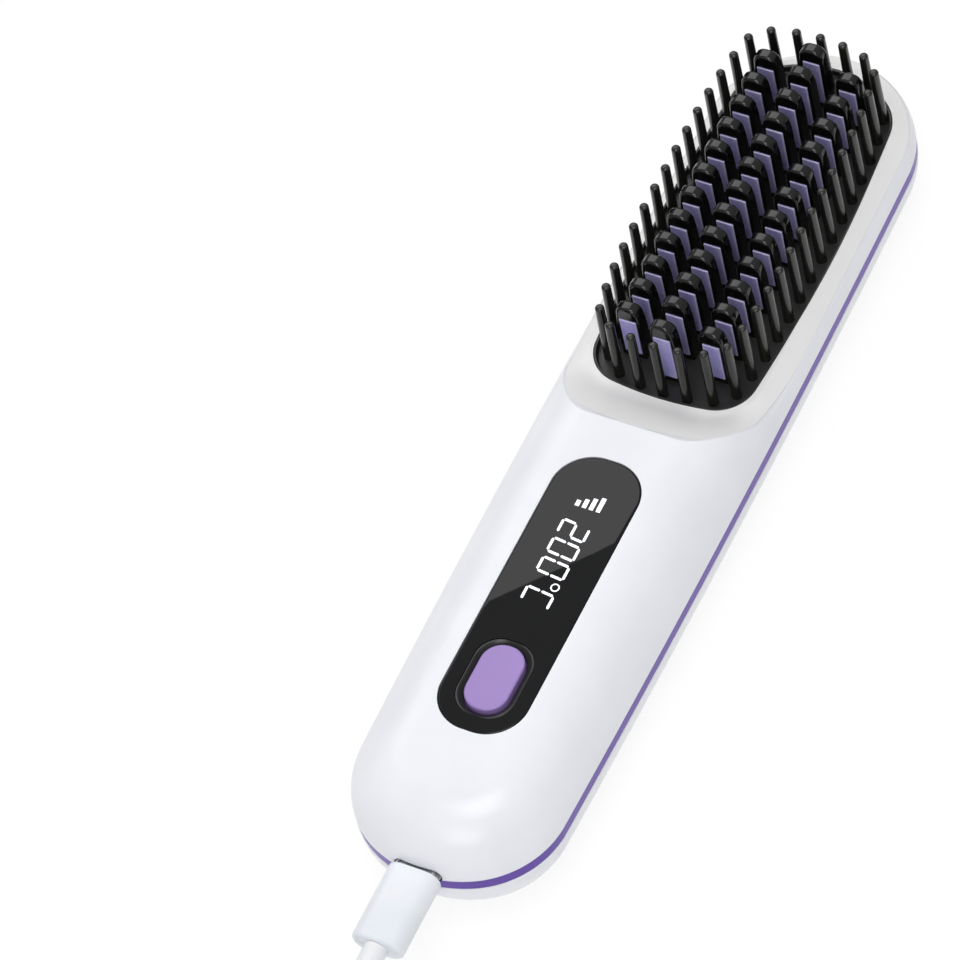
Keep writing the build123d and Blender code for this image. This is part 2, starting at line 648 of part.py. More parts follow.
HOLDER_TAIL_Y = CELL_TAIL_Y - STRAP_THICKNESS - END_PLATE
HOLDER_HEAD_Y = CELL_TAIL_Y + CELL_LENGTH + STRAP_THICKNESS
HOLDER_BOTTOM = 2.4
RIB_WIDTH = 2.4
EAR_WIDTH = 6.0
EAR_THICKNESS = 1.6
with BuildPart() as battery_holder:
    for plate_y in (HOLDER_TAIL_Y, HOLDER_HEAD_Y):
        with BuildSketch(Plane.XZ.offset(-plate_y - END_PLATE)) as plate_plan:
            with Locations((0, HOLDER_BOTTOM + END_PLATE_HEIGHT / 2)):
                Rectangle(END_PLATE_WIDTH, END_PLATE_HEIGHT)
            fillet(plate_plan.vertices().group_by(Axis.Y)[0], 9.0)
            fillet(plate_plan.vertices().group_by(Axis.Y)[-1], 4.0)
            with Locations((0, 18)):
                Rectangle(8, 7, mode=Mode.SUBTRACT)
        extrude(amount=END_PLATE)
    with BuildSketch(Plane.XY.offset(HOLDER_BOTTOM)):
        with Locations((0, CELL_MIDDLE_Y)):
            Rectangle(RIB_WIDTH, CELL_LENGTH + 2 * STRAP_THICKNESS)
    extrude(amount=4.2)
    with BuildSketch(Plane.XY.offset(HOLDER_EAR_HEIGHT)):
        with Locations((0, (HOLDER_POSTS[0][1] - 2.5 + HOLDER_TAIL_Y) / 2)):
            Rectangle(EAR_WIDTH, HOLDER_TAIL_Y - HOLDER_POSTS[0][1] + 2.5)
        with Locations((0, (HOLDER_POSTS[1][1] + 2.5 + HOLDER_HEAD_Y + END_PLATE) / 2)):
            Rectangle(EAR_WIDTH, HOLDER_POSTS[1][1] + 2.5 - HOLDER_HEAD_Y - END_PLATE)
        with Locations(*HOLDER_POSTS):
            Circle(SCREW_RADIUS, mode=Mode.SUBTRACT)
    extrude(amount=EAR_THICKNESS)
finish(battery_holder, "battery_holder")

PAD_X = 6.9
with BuildPart() as battery_pads:
    with BuildSketch(Plane.XY.offset(WALL)):
        with Locations((-PAD_X, CELL_MIDDLE_Y), (PAD_X, CELL_MIDDLE_Y)):
            Rectangle(3.4, 58)
    extrude(amount=CELL_HEIGHT - CELL_RADIUS - WALL - 0.03)
finish(battery_pads, "battery_pads")

with BuildPart() as holder_screws:
    for x, y in HOLDER_POSTS:
        screw((x, y, HOLDER_EAR_HEIGHT + EAR_THICKNESS), 5.2, upward=False)
finish(holder_screws, "holder_screws")

# ---- main board at the tail ----
MAIN_BOARD_HEAD_Y = -74.0
with BuildPart() as main_board:
    with BuildSketch(Plane.XY.offset(MAIN_BOARD_TOP - BOARD_THICKNESS)):
        add(body_outline(3.2))
        with Locations((0, MAIN_BOARD_HEAD_Y)):
            Rectangle(3 * HALF_WIDTH, 2 * HALF_LENGTH, align=(Align.CENTER, Align.MIN), mode=Mode.SUBTRACT)
        with Locations(*MAIN_POSTS):
            Circle(SCREW_RADIUS, mode=Mode.SUBTRACT)
    extrude(amount=BOARD_THICKNESS)
finish(main_board, "main_board")

with BuildPart() as board_screws:
    for x, y in MAIN_POSTS:
        screw((x, y, MAIN_BOARD_TOP), 7.4, upward=False)
finish(board_screws, "board_screws")

SOCKET_MOUTH_Y = -94.9
SOCKET_LENGTH = 7.3
SOCKET_DEPTH = 6.6
TONGUE_SETBACK = 1.2
with BuildPart() as usb_socket:
    with BuildSketch(Plane.XZ.offset(-SOCKET_MOUTH_Y)):
        with Locations((0, PORT_HEIGHT)):
            SlotOverall(8.95, 3.2)
    extrude(amount=-SOCKET_LENGTH)
    with BuildSketch(Plane.XZ.offset(-SOCKET_MOUTH_Y)):
        with Locations((0, PORT_HEIGHT)):
            SlotOverall(8.5, 2.65)
    extrude(amount=-SOCKET_DEPTH, mode=Mode.SUBTRACT)
    with BuildSketch(Plane.XZ.offset(-SOCKET_MOUTH_Y - TONGUE_SETBACK)):
        with Locations((0, PORT_HEIGHT)):
            Rectangle(6.6, 0.65)
    extrude(amount=TONGUE_SETBACK - SOCKET_DEPTH - 0.1)
finish(usb_socket, "usb_socket")

with BuildPart() as controller_chip:
    with BuildSketch(Plane.XY.offset(MAIN_BOARD_TOP)):
        with Locations((-6.5, -84.5)):
            Rectangle(5, 5)
    extrude(amount=0.9)
finish(controller_chip, "controller_chip")

with BuildPart() as power_inductor:
    with BuildSketch(Plane.XY.offset(MAIN_BOARD_TOP)) as inductor_plan:
        with Locations((7.5, -83.5)):
            RectangleRounded(6, 6, 1.5)
    extrude(amount=2.8)
finish(power_inductor, "power_inductor")

with BuildPart() as board_parts:
    with BuildSketch(Plane.XY.offset(MAIN_BOARD_TOP)):
        with Locations((-1.5, -80.0)):
            with GridLocations(2.6, 2.6, 2, 2):
                Rectangle(1.6, 1.2)
        with Locations((4.6, -77.5), (-13.5, -80.5), (13.0, -79.0)):
            Rectangle(2.0, 1.2)
    extrude(amount=0.8)
finish(board_parts, "board_parts")

# ---- wires held inside ----
WIRE_RADIUS = 0.65


def wire(points, radii):
    """One insulated wire swept along straight runs joined by arcs."""
    with BuildPart() as lead:
        with BuildLine() as path:
            FilletPolyline(*points, radius=radii)
        with BuildSketch(Plane(origin=path.line @ 0, z_dir=path.line % 0)):
            Circle(WIRE_RADIUS)
        sweep(path=path.line)
    return lead.part


HEATER_LEAD_RADII = [10.0, 10.0, 3.0, 1.5]
with BuildPart() as heater_leads:
    for x in (-1.0, 1.0):
        tray_end = (x, COMB_Y - HEATER_TRAY_LENGTH / 2 - 0.08, BOSS_BOTTOM - TRAY_THICKNESS / 2)
        valley = [(x, 4.0, 13.4), (x, -4.0, 18.4), (x, -70.0, 18.4)]
        board_end = [(x, -75.4, 16.8), (x, -75.4, MAIN_BOARD_TOP)]
        add(wire([tray_end] + valley + board_end, HEATER_LEAD_RADII))
finish(heater_leads, "heater_leads")

with BuildPart() as battery_leads:
    for x in (-12.0, 12.0):
        add(wire([(x, HOLDER_TAIL_Y, 16.6), (x, -75.4, 16.6), (x, -75.4, MAIN_BOARD_TOP)], [1.5]))
finish(battery_leads, "battery_leads")

# ---- charging cable ----
PLUG_REAR_Y = PLUG_FRONT_Y - PLUG_LENGTH
PLUG_CORNER = 2.5
PLUG_REAR_RADIUS = 0.6
with BuildPart() as plug_body:
    with BuildSketch(Plane.XZ.offset(-PLUG_FRONT_Y)):
        with Locations((0, PORT_HEIGHT)):
            RectangleRounded(PLUG_WIDTH, PLUG_THICKNESS, PLUG_CORNER)
    extrude(amount=PLUG_LENGTH)
    fillet(plug_body.edges().group_by(Axis.Y)[0], PLUG_REAR_RADIUS)
finish(plug_body, "plug_body")

TIP_LENGTH = 6.4
TIP_WIDTH = 8.3
TIP_THICKNESS = 2.45
TIP_WALL = 0.55
TIP_MOUTH_DEPTH = 5.6
with BuildPart() as plug_tip:
    with BuildSketch(Plane.XZ.offset(-PLUG_FRONT_Y)):
        with Locations((0, PORT_HEIGHT)):
            SlotOverall(TIP_WIDTH, TIP_THICKNESS)
    extrude(amount=-TIP_LENGTH)
    with BuildSketch(Plane.XZ.offset(-PLUG_FRONT_Y - TIP_LENGTH)):
        with Locations((0, PORT_HEIGHT)):
            SlotOverall(TIP_WIDTH - 2 * TIP_WALL, TIP_THICKNESS - 2 * TIP_WALL)
    extrude(amount=TIP_MOUTH_DEPTH, mode=Mode.SUBTRACT)
finish(plug_tip, "plug_tip")


def cable_tube(points, label):
    """A cable along straight runs and arcs, each arc as large as its two runs allow."""
    corners = [Vector(*point) for point in points]
    radii = []
    for before, corner, after in zip(corners, corners[1:], corners[2:]):
        turn = (corner - before).get_angle(after - corner)
        shorter = min((corner - before).length, (after - corner).length)
        radii.append(0.45 * shorter / math.tan(math.radians(turn / 2)))
    print(label, "bend radii", [round(radius, 1) for radius in radii])
    with BuildPart() as tube:
        with BuildLine() as path:
            FilletPolyline(*points, radius=radii)
        with BuildSketch(Plane(origin=path.line @ 0, z_dir=path.line % 0)):
            Circle(CABLE_DIAMETER / 2)
        sweep(path=path.line)
    length = sum(edge.length for edge in path.line.edges())
    full_volume = length * math.pi * CABLE_DIAMETER**2 / 4
    print(label, "length", round(length, 1), "volume ratio", round(tube.part.volume / full_volume, 3))
    return tube


CABLE_ROUTE = [
    (0, PLUG_REAR_Y, PORT_HEIGHT),
    (0, -121.0, PORT_HEIGHT - 0.2),
    (1.9, -129.2, 13.9),
    (8.0, -137.1, 12.0),
]
charge_cable = cable_tube(CABLE_ROUTE, "charge_cable")
finish(charge_cable, "charge_cable")

with BuildPart() as cable_hank:
    with BuildSketch(Plane.XY.offset(HANK_BOTTOM)):
        with Locations((0, HANK_Y)):
            SlotCenterToCenter(HANK_RUN, 2 * HANK_HALF_WIDTH, rotation=90)
            SlotCenterToCenter(HANK_RUN, 2 * HANK_HOLE_HALF_WIDTH, rotation=90, mode=Mode.SUBTRACT)
    extrude(amount=HANK_HEIGHT)
    rims = cable_hank.edges().group_by(Axis.Z)[0] + cable_hank.edges().group_by(Axis.Z)[-1]
    fillet(rims, HANK_RIM_RADIUS)
finish(cable_hank, "cable_hank")

TIE_WIDTH = 8.0
TIE_X = -(HANK_HALF_WIDTH + HANK_HOLE_HALF_WIDTH) / 2
TIE_SPAN = HANK_HALF_WIDTH - HANK_HOLE_HALF_WIDTH + 0.2
TIE_CORNER = HANK_RIM_RADIUS - 0.1
with BuildPart() as cable_tie:
    with BuildSketch(Plane.XZ.offset(-HANK_Y - TIE_WIDTH / 2)):
        with Locations((TIE_X, HANK_BOTTOM + HANK_HEIGHT / 2)):
            RectangleRounded(
                TIE_SPAN + 2 * TIE_THICKNESS, HANK_HEIGHT + 2 * TIE_THICKNESS, TIE_CORNER + TIE_THICKNESS
            )
            RectangleRounded(TIE_SPAN, HANK_HEIGHT, TIE_CORNER, mode=Mode.SUBTRACT)
    extrude(amount=TIE_WIDTH)
finish(cable_tie, "cable_tie")

FAR_PLUG_X = 3.6
FAR_PLUG_Y = -172.0
FAR_PLUG_LENGTH = 24.0
FAR_PLUG_WIDTH = 15.4
FAR_PLUG_HEIGHT = 7.5
TABLE_LAYER = HANK_BOTTOM + CABLE_DIAMETER / 2
TAIL_ROUTE = [
    (-6.5, -142.2, TABLE_LAYER),
    (2.2, -142.0, TABLE_LAYER),
    (7.1, -144.85, TABLE_LAYER),
    (9.75, -149.65, TABLE_LAYER + 0.1),
    (9.65, -156.5, TABLE_LAYER + 0.4),
    (FAR_PLUG_X, FAR_PLUG_Y + 6.8, FAR_PLUG_HEIGHT / 2),
    (FAR_PLUG_X, FAR_PLUG_Y, FAR_PLUG_HEIGHT / 2),
]
cable_tail = cable_tube(TAIL_ROUTE, "cable_tail")
finish(cable_tail, "cable_tail")

with BuildPart() as far_plug_body:
    with BuildSketch(Plane.XZ.offset(-FAR_PLUG_Y)):
        with Locations((FAR_PLUG_X, FAR_PLUG_HEIGHT / 2)):
            RectangleRounded(FAR_PLUG_WIDTH, FAR_PLUG_HEIGHT, 2.0)
    extrude(amount=FAR_PLUG_LENGTH)
finish(far_plug_body, "far_plug_body")

FAR_TIP_LENGTH = 12.0
FAR_TIP_WIDTH = 12.0
FAR_TIP_HEIGHT = 4.5
FAR_TIP_WALL = 0.4
FAR_MOUTH_TOP = (FAR_PLUG_HEIGHT + FAR_TIP_HEIGHT) / 2 - FAR_TIP_WALL
FAR_MOUTH_HEIGHT = 1.9
FAR_MOUTH_DEPTH = 8.5
with BuildPart() as far_plug_tip:
    with BuildSketch(Plane.XZ.offset(-FAR_PLUG_Y + FAR_PLUG_LENGTH)):
        with Locations((FAR_PLUG_X, FAR_PLUG_HEIGHT / 2)):
            Rectangle(FAR_TIP_WIDTH, FAR_TIP_HEIGHT)
    extrude(amount=FAR_TIP_LENGTH)
    with BuildSketch(Plane.XZ.offset(-FAR_PLUG_Y + FAR_PLUG_LENGTH + FAR_TIP_LENGTH)):
        with Locations((FAR_PLUG_X, FAR_MOUTH_TOP - FAR_MOUTH_HEIGHT / 2)):
            Rectangle(FAR_TIP_WIDTH - 2 * FAR_TIP_WALL, FAR_MOUTH_HEIGHT)
    extrude(amount=-FAR_MOUTH_DEPTH, mode=Mode.SUBTRACT)
finish(far_plug_tip, "far_plug_tip")
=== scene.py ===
import bmesh
import bpy
import math
from mathutils import Matrix, Vector


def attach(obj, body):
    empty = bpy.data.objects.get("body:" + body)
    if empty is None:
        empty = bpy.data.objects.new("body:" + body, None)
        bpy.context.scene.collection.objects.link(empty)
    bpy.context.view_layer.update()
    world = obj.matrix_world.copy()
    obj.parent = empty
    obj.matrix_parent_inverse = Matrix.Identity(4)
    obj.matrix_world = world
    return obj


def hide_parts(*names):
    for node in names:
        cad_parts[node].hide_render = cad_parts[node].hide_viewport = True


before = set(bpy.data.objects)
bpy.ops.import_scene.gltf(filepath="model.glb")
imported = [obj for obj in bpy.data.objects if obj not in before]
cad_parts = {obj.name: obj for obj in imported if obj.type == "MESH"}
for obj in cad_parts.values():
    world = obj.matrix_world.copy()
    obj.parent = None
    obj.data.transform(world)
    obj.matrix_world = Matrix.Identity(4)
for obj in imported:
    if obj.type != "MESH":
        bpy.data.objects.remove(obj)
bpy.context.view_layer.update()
bpy.ops.object.select_all(action="DESELECT")
scene = bpy.context.scene
scene.view_settings.view_transform = "Standard"


# ---- camera ----
# A long lens looks down on the brush from beyond its right side and its tail, with the head
# turned up and to the right. The hank of spare cable lies just below the bottom of the frame.
CAMERA_PLACE = (0.4044, -0.5571, 0.9945)
CAMERA_RIGHT = (0.88938522, 0.43086333, -0.15280941)
CAMERA_UP = (-0.28273913, 0.78108341, 0.55674706)
CAMERA_BACK = (0.35923879, -0.45195741, 0.81650597)

lens = bpy.data.cameras.new("camera")
lens.lens = 242.55
lens.sensor_width = 36.0
camera = bpy.data.objects.new("camera", lens)
scene.collection.objects.link(camera)
camera.matrix_world = Matrix([
    (across, up, back, place)
    for across, up, back, place in zip(CAMERA_RIGHT, CAMERA_UP, CAMERA_BACK, CAMERA_PLACE)
] + [(0.0, 0.0, 0.0, 1.0)])
scene.camera = camera


# ---- table and studio light ----
# A white table under a pale room, with soft cards overhead and beyond the tail. A third card hangs
# beyond the head, on the left, and the glossy read-out mirrors its near edge as a slanting border.
TABLE_SIZE = 8.0
TABLE_GLOW = 0.84                            # how much of the table's look is its own even glow
TABLE_BRIGHTNESS = 1.03
ROOM_WALLS, ROOM_CEILING = 0.30, 0.58        # brightness
SOFT_CARDS = [
    ("overhead_card", (0.15, -0.18, 1.5), 0.7, 4.6),      # name, place, width, brightness
    ("tail_card", (0.28, -0.95, 0.70), 0.5, 3.4),
]
HEAD_CARD_WIDTH = 0.95
HEAD_CARD_BRIGHTNESS = 2.0
HEAD_CARD_EDGE = Vector((-0.4067, 0.4896, 1.0))
HEAD_CARD_HEADING = Vector((0.0345, 0.0403, 0.0)).normalized()


def linear(hex_colour):
    """An sRGB colour such as E8E8F0 as the linear colour that shaders take."""
    channels = [int(hex_colour[i:i + 2], 16) / 255 for i in (0, 2, 4)]
    return [c / 12.92 if c <= 0.04045 else ((c + 0.055) / 1.055) ** 2.4 for c in channels] + [1.0]


def set_values(node, values):
    """Sets a shader node's own input values and its fields."""
    for name, value in values.items():
        if name in node.inputs:
            node.inputs[name].default_value = value
        else:
            setattr(node, name, value)


def add_node(tree, kind, settings=None, links=None):
    """Adds one shader node, sets its values, and wires its inputs."""
    node = tree.nodes.new("ShaderNode" + kind)
    set_values(node, settings or {})
    for name, source in (links or {}).items():
        tree.links.new(source, node.inputs[name])
    return node


def two_tone(tree, factor, dark, light, start=0.0, end=1.0):
    """A ramp from one colour to another, as the factor goes from start to end."""
    ramp = add_node(tree, "ValToRGB", links={"Fac": factor})
    first, last = ramp.color_ramp.elements
    first.position, first.color = start, linear(dark)
    last.position, last.color = end, linear(light)
    return ramp.outputs["Color"]


bpy.ops.mesh.primitive_grid_add(x_subdivisions=8, y_subdivisions=8, size=TABLE_SIZE)
table = bpy.context.object
table.name = "table"

# White laminate: it reads as clean white paper, and still takes the brush's soft shadow. Seen by
# the camera or in a mirror it mostly glows evenly, and to all other light it is plainly matt.
laminate = bpy.data.materials.new("white_laminate")
laminate.use_nodes = True
tree = laminate.node_tree
tree.nodes.clear()
seen = add_node(tree, "LightPath").outputs
camera_or_gloss = add_node(
    tree, "Math", {"operation": "MAXIMUM"}, {0: seen["Is Camera Ray"], 1: seen["Is Glossy Ray"]})
seen_plainly = add_node(
    tree, "Math", {"operation": "MAXIMUM"},
    {0: camera_or_gloss.outputs[0], 1: seen["Is Transmission Ray"]})
share = add_node(tree, "Math", {"operation": "MULTIPLY"}, {0: seen_plainly.outputs[0]})
share.inputs[1].default_value = TABLE_GLOW
paper = add_node(tree, "TexNoise", {"Scale": 900.0, "Detail": 2.0})
matt = add_node(tree, "BsdfDiffuse", links={
    "Color": two_tone(tree, paper.outputs["Fac"], "F4F4F5", "F8F8F8")})
white = add_node(tree, "Emission", {"Color": (1.0, 1.0, 1.0, 1.0), "Strength": TABLE_BRIGHTNESS})
blend = add_node(
    tree, "MixShader", links={"Fac": share.outputs[0], 1: matt.outputs[0], 2: white.outputs[0]})
add_node(tree, "OutputMaterial", links={"Surface": blend.outputs[0]})
table.data.materials.append(laminate)

# A pale room: light grey walls and a brighter ceiling, so upright faces shade a little.
room = bpy.data.worlds.new("pale_room")
room.use_nodes = True
tree = room.node_tree
heading = add_node(tree, "TexCoord").outputs["Generated"]
height = add_node(tree, "SeparateXYZ", links={"Vector": heading}).outputs["Z"]
sky = add_node(tree, "MapRange", {"To Min": ROOM_WALLS, "To Max": ROOM_CEILING}, {"Value": height})
tree.links.new(sky.outputs["Result"], tree.nodes["Background"].inputs["Strength"])
tree.nodes["Background"].inputs["Color"].default_value = (0.97, 0.985, 1.0, 1.0)
scene.world = room


def hang_card(name, place, width, brightness, turn):
    """A square soft lamp whose face shines evenly at the given brightness."""
    card = bpy.data.lights.new(name, "AREA")
    card.shape = "SQUARE"
    card.size = width
    card.energy = brightness * math.pi * width**2
    lamp = bpy.data.objects.new(name, card)
    lamp.location = place
    lamp.rotation_euler = turn
    scene.collection.objects.link(lamp)


for name, place, width, brightness in SOFT_CARDS:
    hang_card(name, place, width, brightness, Vector(place).to_track_quat("Z", "Y").to_euler())
away_from_edge = Vector((-HEAD_CARD_HEADING.y, HEAD_CARD_HEADING.x, 0.0))
hang_card(
    "head_card", HEAD_CARD_EDGE + away_from_edge * HEAD_CARD_WIDTH / 2, HEAD_CARD_WIDTH,
    HEAD_CARD_BRIGHTNESS, (0.0, 0.0, math.atan2(HEAD_CARD_HEADING.y, HEAD_CARD_HEADING.x)))


# ---- charging cable ----
# A limp PVC-jacketed lead, 4.5 mm thick. It leaves the plug, drops to the table, and its spare
# length is stored as a neat tied hank, wound clockwise, with the other plug lying inside it.
CABLE_WIDTH = 0.0045
CABLE_EXIT = (0.0, -0.112, 0.0159)
HANK_NEAR_Y = -0.156
HANK_FAR_Y = -0.202
FOLD_REACH = 1 / 0.966                       # a fold's control points stand this much further out
OUTER_RUN, INNER_RUN = 0.019, 0.0145         # half the width of a turn
HANK_TURNS = [
    (OUTER_RUN, 0.01175), (INNER_RUN, 0.01175), (INNER_RUN, 0.00725),
    (OUTER_RUN, 0.00725), (OUTER_RUN, 0.00275), (INNER_RUN, 0.00275),
]
CROSSING_BULGE = [0.0, -0.0014, 0.0, 0.0014, 0.0]      # keeps turns clear where they change place

cable_route = [
    CABLE_EXIT, (0.0, -0.121, 0.0157), (0.0019, -0.1292, 0.0139), (0.0075, -0.1365, 0.0122),
    (0.0146, -0.1436, 0.01175),
]
for turn, (reach, height) in enumerate(HANK_TURNS):
    cable_route += [(reach, HANK_NEAR_Y, height), (reach, HANK_FAR_Y, height)]
    for angle in (-30, -60, -90, -120, -150):
        cable_route.append((
            reach * FOLD_REACH * math.cos(math.radians(angle)),
            HANK_FAR_Y + reach * FOLD_REACH * math.sin(math.radians(angle)), height))
    cable_route += [(-reach, HANK_FAR_Y, height), (-reach, HANK_NEAR_Y, height)]
    if turn == len(HANK_TURNS) - 1:
        break
    next_reach, next_height = HANK_TURNS[turn + 1]
    for angle, share in ((150, 0.06), (120, 0.24), (90, 0.5), (60, 0.76), (30, 0.94)):
        bulge = CROSSING_BULGE[turn] * 4 * share * (1 - share)
        out = (reach + (next_reach - reach) * share + bulge) * FOLD_REACH
        cable_route.append((
            out * math.cos(math.radians(angle)),
            HANK_NEAR_Y + out * math.sin(math.radians(angle)),
            height + (next_height - height) * share))
cable_route += [
    (-0.0130, -0.1484, 0.00275), (-0.0072, -0.1429, 0.00275), (0.0, -0.1417, 0.00275),
    (0.0058, -0.1434, 0.00280), (0.0092, -0.1482, 0.00285), (0.0098, -0.1540, 0.0030),
    (0.0070, -0.1603, 0.0034), (0.0038, -0.1655, 0.00375), (0.0036, -0.1720, 0.00375),
]

jacket = bpy.data.curves.new("charging_cable", "CURVE")
jacket.dimensions = "3D"
jacket.bevel_depth = CABLE_WIDTH / 2
jacket.bevel_resolution = 5
jacket.resolution_u = 6
line = jacket.splines.new("NURBS")
line.points.add(len(cable_route) - 1)
for point, place in zip(line.points, cable_route):
    point.co = (*place, 1.0)
line.order_u = 3
line.use_endpoint_u = True
cable = bpy.data.objects.new("charging_cable", jacket)
scene.collection.objects.link(cable)


def new_finish(name):
    """An empty finish: its material, its node tree, its shader and the place on the piece."""
    finish = bpy.data.materials.new(name)
    finish.use_nodes = True
    tree = finish.node_tree
    place = add_node(tree, "TexCoord").outputs["Object"]
    return finish, tree, tree.nodes["Principled BSDF"], place


def wear(tree, shader, pattern, tones=None, roughness=None, relief=None):
    """Lets a pattern drive a finish: its two tones, its span of roughness and the relief of its skin."""
    if tones:
        tree.links.new(two_tone(tree, pattern, *tones), shader.inputs["Base Color"])
    if roughness:
        span = dict(zip(("To Min", "To Max", "From Min", "From Max"), roughness))
        dullness = add_node(tree, "MapRange", span, {"Value": pattern})
        tree.links.new(dullness.outputs["Result"], shader.inputs["Roughness"])
    if relief:
        strength, depth = relief
        skin = add_node(tree, "Bump", {"Strength": strength, "Distance": depth}, {"Height": pattern})
        tree.links.new(skin.outputs["Normal"], shader.inputs["Normal"])


def moulded(name, dark, light, roughness, grain, relief, sheen_spread=0.05):
    """Moulded plastic: a faint mottle 20 mm wide, and an eroded grain of the given size in metres."""
    finish, tree, shader, place = new_finish(name)
    flow = add_node(tree, "TexNoise", {"Scale": 1 / 0.020, "Detail": 3.0}, {"Vector": place})
    erosion = add_node(tree, "TexNoise", {"Scale": 1 / grain, "Detail": 2.0}, {"Vector": place})
    low, high = roughness - sheen_spread / 2, roughness + sheen_spread / 2
    wear(tree, shader, flow.outputs["Fac"], (dark, light, 0.3, 0.7))
    wear(tree, shader, erosion.outputs["Fac"], None, (low, high, 0.3, 0.7), (0.6, relief))
    return finish


def let_light_in(finish, weight, depth):
    """Lets light scatter under the skin of a soft plastic."""
    set_values(finish.node_tree.nodes["Principled BSDF"], {
        "Subsurface Weight": weight, "Subsurface Scale": depth})


# Extruded soft PVC: milky white, a dull sheen and a skin that is never quite even.
soft_pvc = moulded("extruded_white_pvc", "ECECEF", "F6F6F8", 0.42, 0.0007, 0.00002)
let_light_in(soft_pvc, 0.08, 0.002)
jacket.materials.append(soft_pvc)
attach(cable, "cord")
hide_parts("charge_cable", "cable_hank", "cable_tail")


# ---- back cover ----
# The palm side of the housing: one injection-moulded ABS shell, 1.8 mm thick, with a full 12 mm
# round all along its back. Four posts inside take the screws of the board and the cell holder.
MM = 0.001
HAIR = 0.001 * MM                                     # places closer than this are the same
HALF_LENGTH = 95.5 * MM
HALF_WIDTH = 21.5 * MM
SIDE_RADIUS = 3200.0 * MM
BODY_TAIL = (HALF_LENGTH, 23.35 * MM, 18.5 * MM)      # reach, radius of the end's arc, of its corners
BODY_HEAD = (HALF_LENGTH, 21.25 * MM, 19.5 * MM)
SHOULDER = 12.0 * MM
WALL = 1.8 * MM
SEAM_BOTTOM = 12.3 * MM
SEAM_TOP = 15.0 * MM
RIM_SOFTNESS = 0.16 * MM
PORT_HEIGHT = 15.9 * MM                               # of the port's middle over the table
PORT_WIDTH, PORT_DEPTH = 9.6 * MM, 3.8 * MM


def arc_run(centre, radius, start, stop, spacing):
    """Points along an arc between two headings, each with the way that is outward there."""
    steps = max(1, round(radius * abs(stop - start) / spacing))
    run = []
    for step in range(steps):
        heading = start + (stop - start) * step / steps
        outward = Vector((math.cos(heading), math.sin(heading), 0.0))
        run.append((centre + radius * outward, outward))
    return run


def closed_outline(right_half):
    """A whole outline from its right half, which runs from the tail to the head."""
    left_half = [
        (Vector((-place.x, place.y, 0.0)), Vector((-outward.x, outward.y, 0.0)))
        for place, outward in reversed(right_half) if place.x > HAIR
    ]
    return right_half + left_half


def rounded_corner(arc_centre, arc_radius, side_centre, side_radius, corner_radius, end):
    """Centre of the corner's round between an end arc and a side, and its headings at both."""
    gap = side_centre - arc_centre
    to_arc = arc_radius - corner_radius
    to_side = side_radius - corner_radius
    along = (to_arc**2 - to_side**2 + gap.length**2) / (2 * gap.length)
    across = math.sqrt(to_arc**2 - along**2)
    forward = gap.normalized()
    centre = arc_centre + along * forward + end * across * Vector((forward.y, -forward.x, 0.0))
    at_arc = centre - arc_centre
    at_side = centre - side_centre
    return centre, math.atan2(at_arc.y, at_arc.x), math.atan2(at_side.y, at_side.x)


def bowed_outline(middle_y, half_width, side_radius, tail, head, spacing):
    """An outline with bowed sides, an arc across each end, and rounded corners."""
    tail_reach, tail_radius, tail_round = tail
    head_reach, head_radius, head_round = head
    side_centre = Vector((half_width - side_radius, middle_y, 0.0))
    tail_centre = Vector((0.0, middle_y - tail_reach + tail_radius, 0.0))
    head_centre = Vector((0.0, middle_y + head_reach - head_radius, 0.0))
    tail_corner, tail_end, tail_side = rounded_corner(
        tail_centre, tail_radius, side_centre, side_radius, tail_round, -1)
    head_corner, head_end, head_side = rounded_corner(
        head_centre, head_radius, side_centre, side_radius, head_round, 1)
    return closed_outline(
        arc_run(tail_centre, tail_radius, -math.pi / 2, tail_end, spacing)
        + arc_run(tail_corner, tail_round, tail_end, tail_side, spacing)
        + arc_run(side_centre, side_radius, tail_side, head_side, 3 * spacing)
        + arc_run(head_corner, head_round, head_side, head_end, spacing)
        + arc_run(head_centre, head_radius, head_end, math.pi / 2, spacing)
        + [(Vector((0.0, middle_y + head_reach, 0.0)), Vector((0.0, 1.0, 0.0)))]
    )


BODY_OUTLINE = bowed_outline(0.0, HALF_WIDTH, SIDE_RADIUS, BODY_TAIL, BODY_HEAD, 0.7 * MM)


def pick(kind, test):
    """In edit mode, selects only the vertices or edges that pass the test."""
    bpy.ops.mesh.select_mode(type=kind)
    bpy.ops.mesh.select_all(action="DESELECT")
    mesh = bmesh.from_edit_mesh(bpy.context.object.data)
    for part in mesh.verts if kind == "VERT" else mesh.edges:
        if test(part):
            part.select_set(True)
    mesh.select_flush_mode()
    bmesh.update_edit_mesh(bpy.context.object.data)


def round_edges(test, radius, segments):
    """In edit mode, rounds the edges that pass the test."""
    pick("EDGE", test)
    bpy.ops.mesh.bevel(offset=radius, segments=segments, affect="EDGES", clamp_overlap=False)


def round_rim(test, radius, segments):
    """In edit mode, rounds the edges whose two ends are both in a place that passes the test."""
    round_edges(lambda edge: all(test(corner.co) for corner in edge.verts), radius, segments)


def runs_along(axis, edge):
    """Whether an edge of a box runs along an axis."""
    return abs(getattr(edge.verts[0].co - edge.verts[1].co, axis)) > HAIR


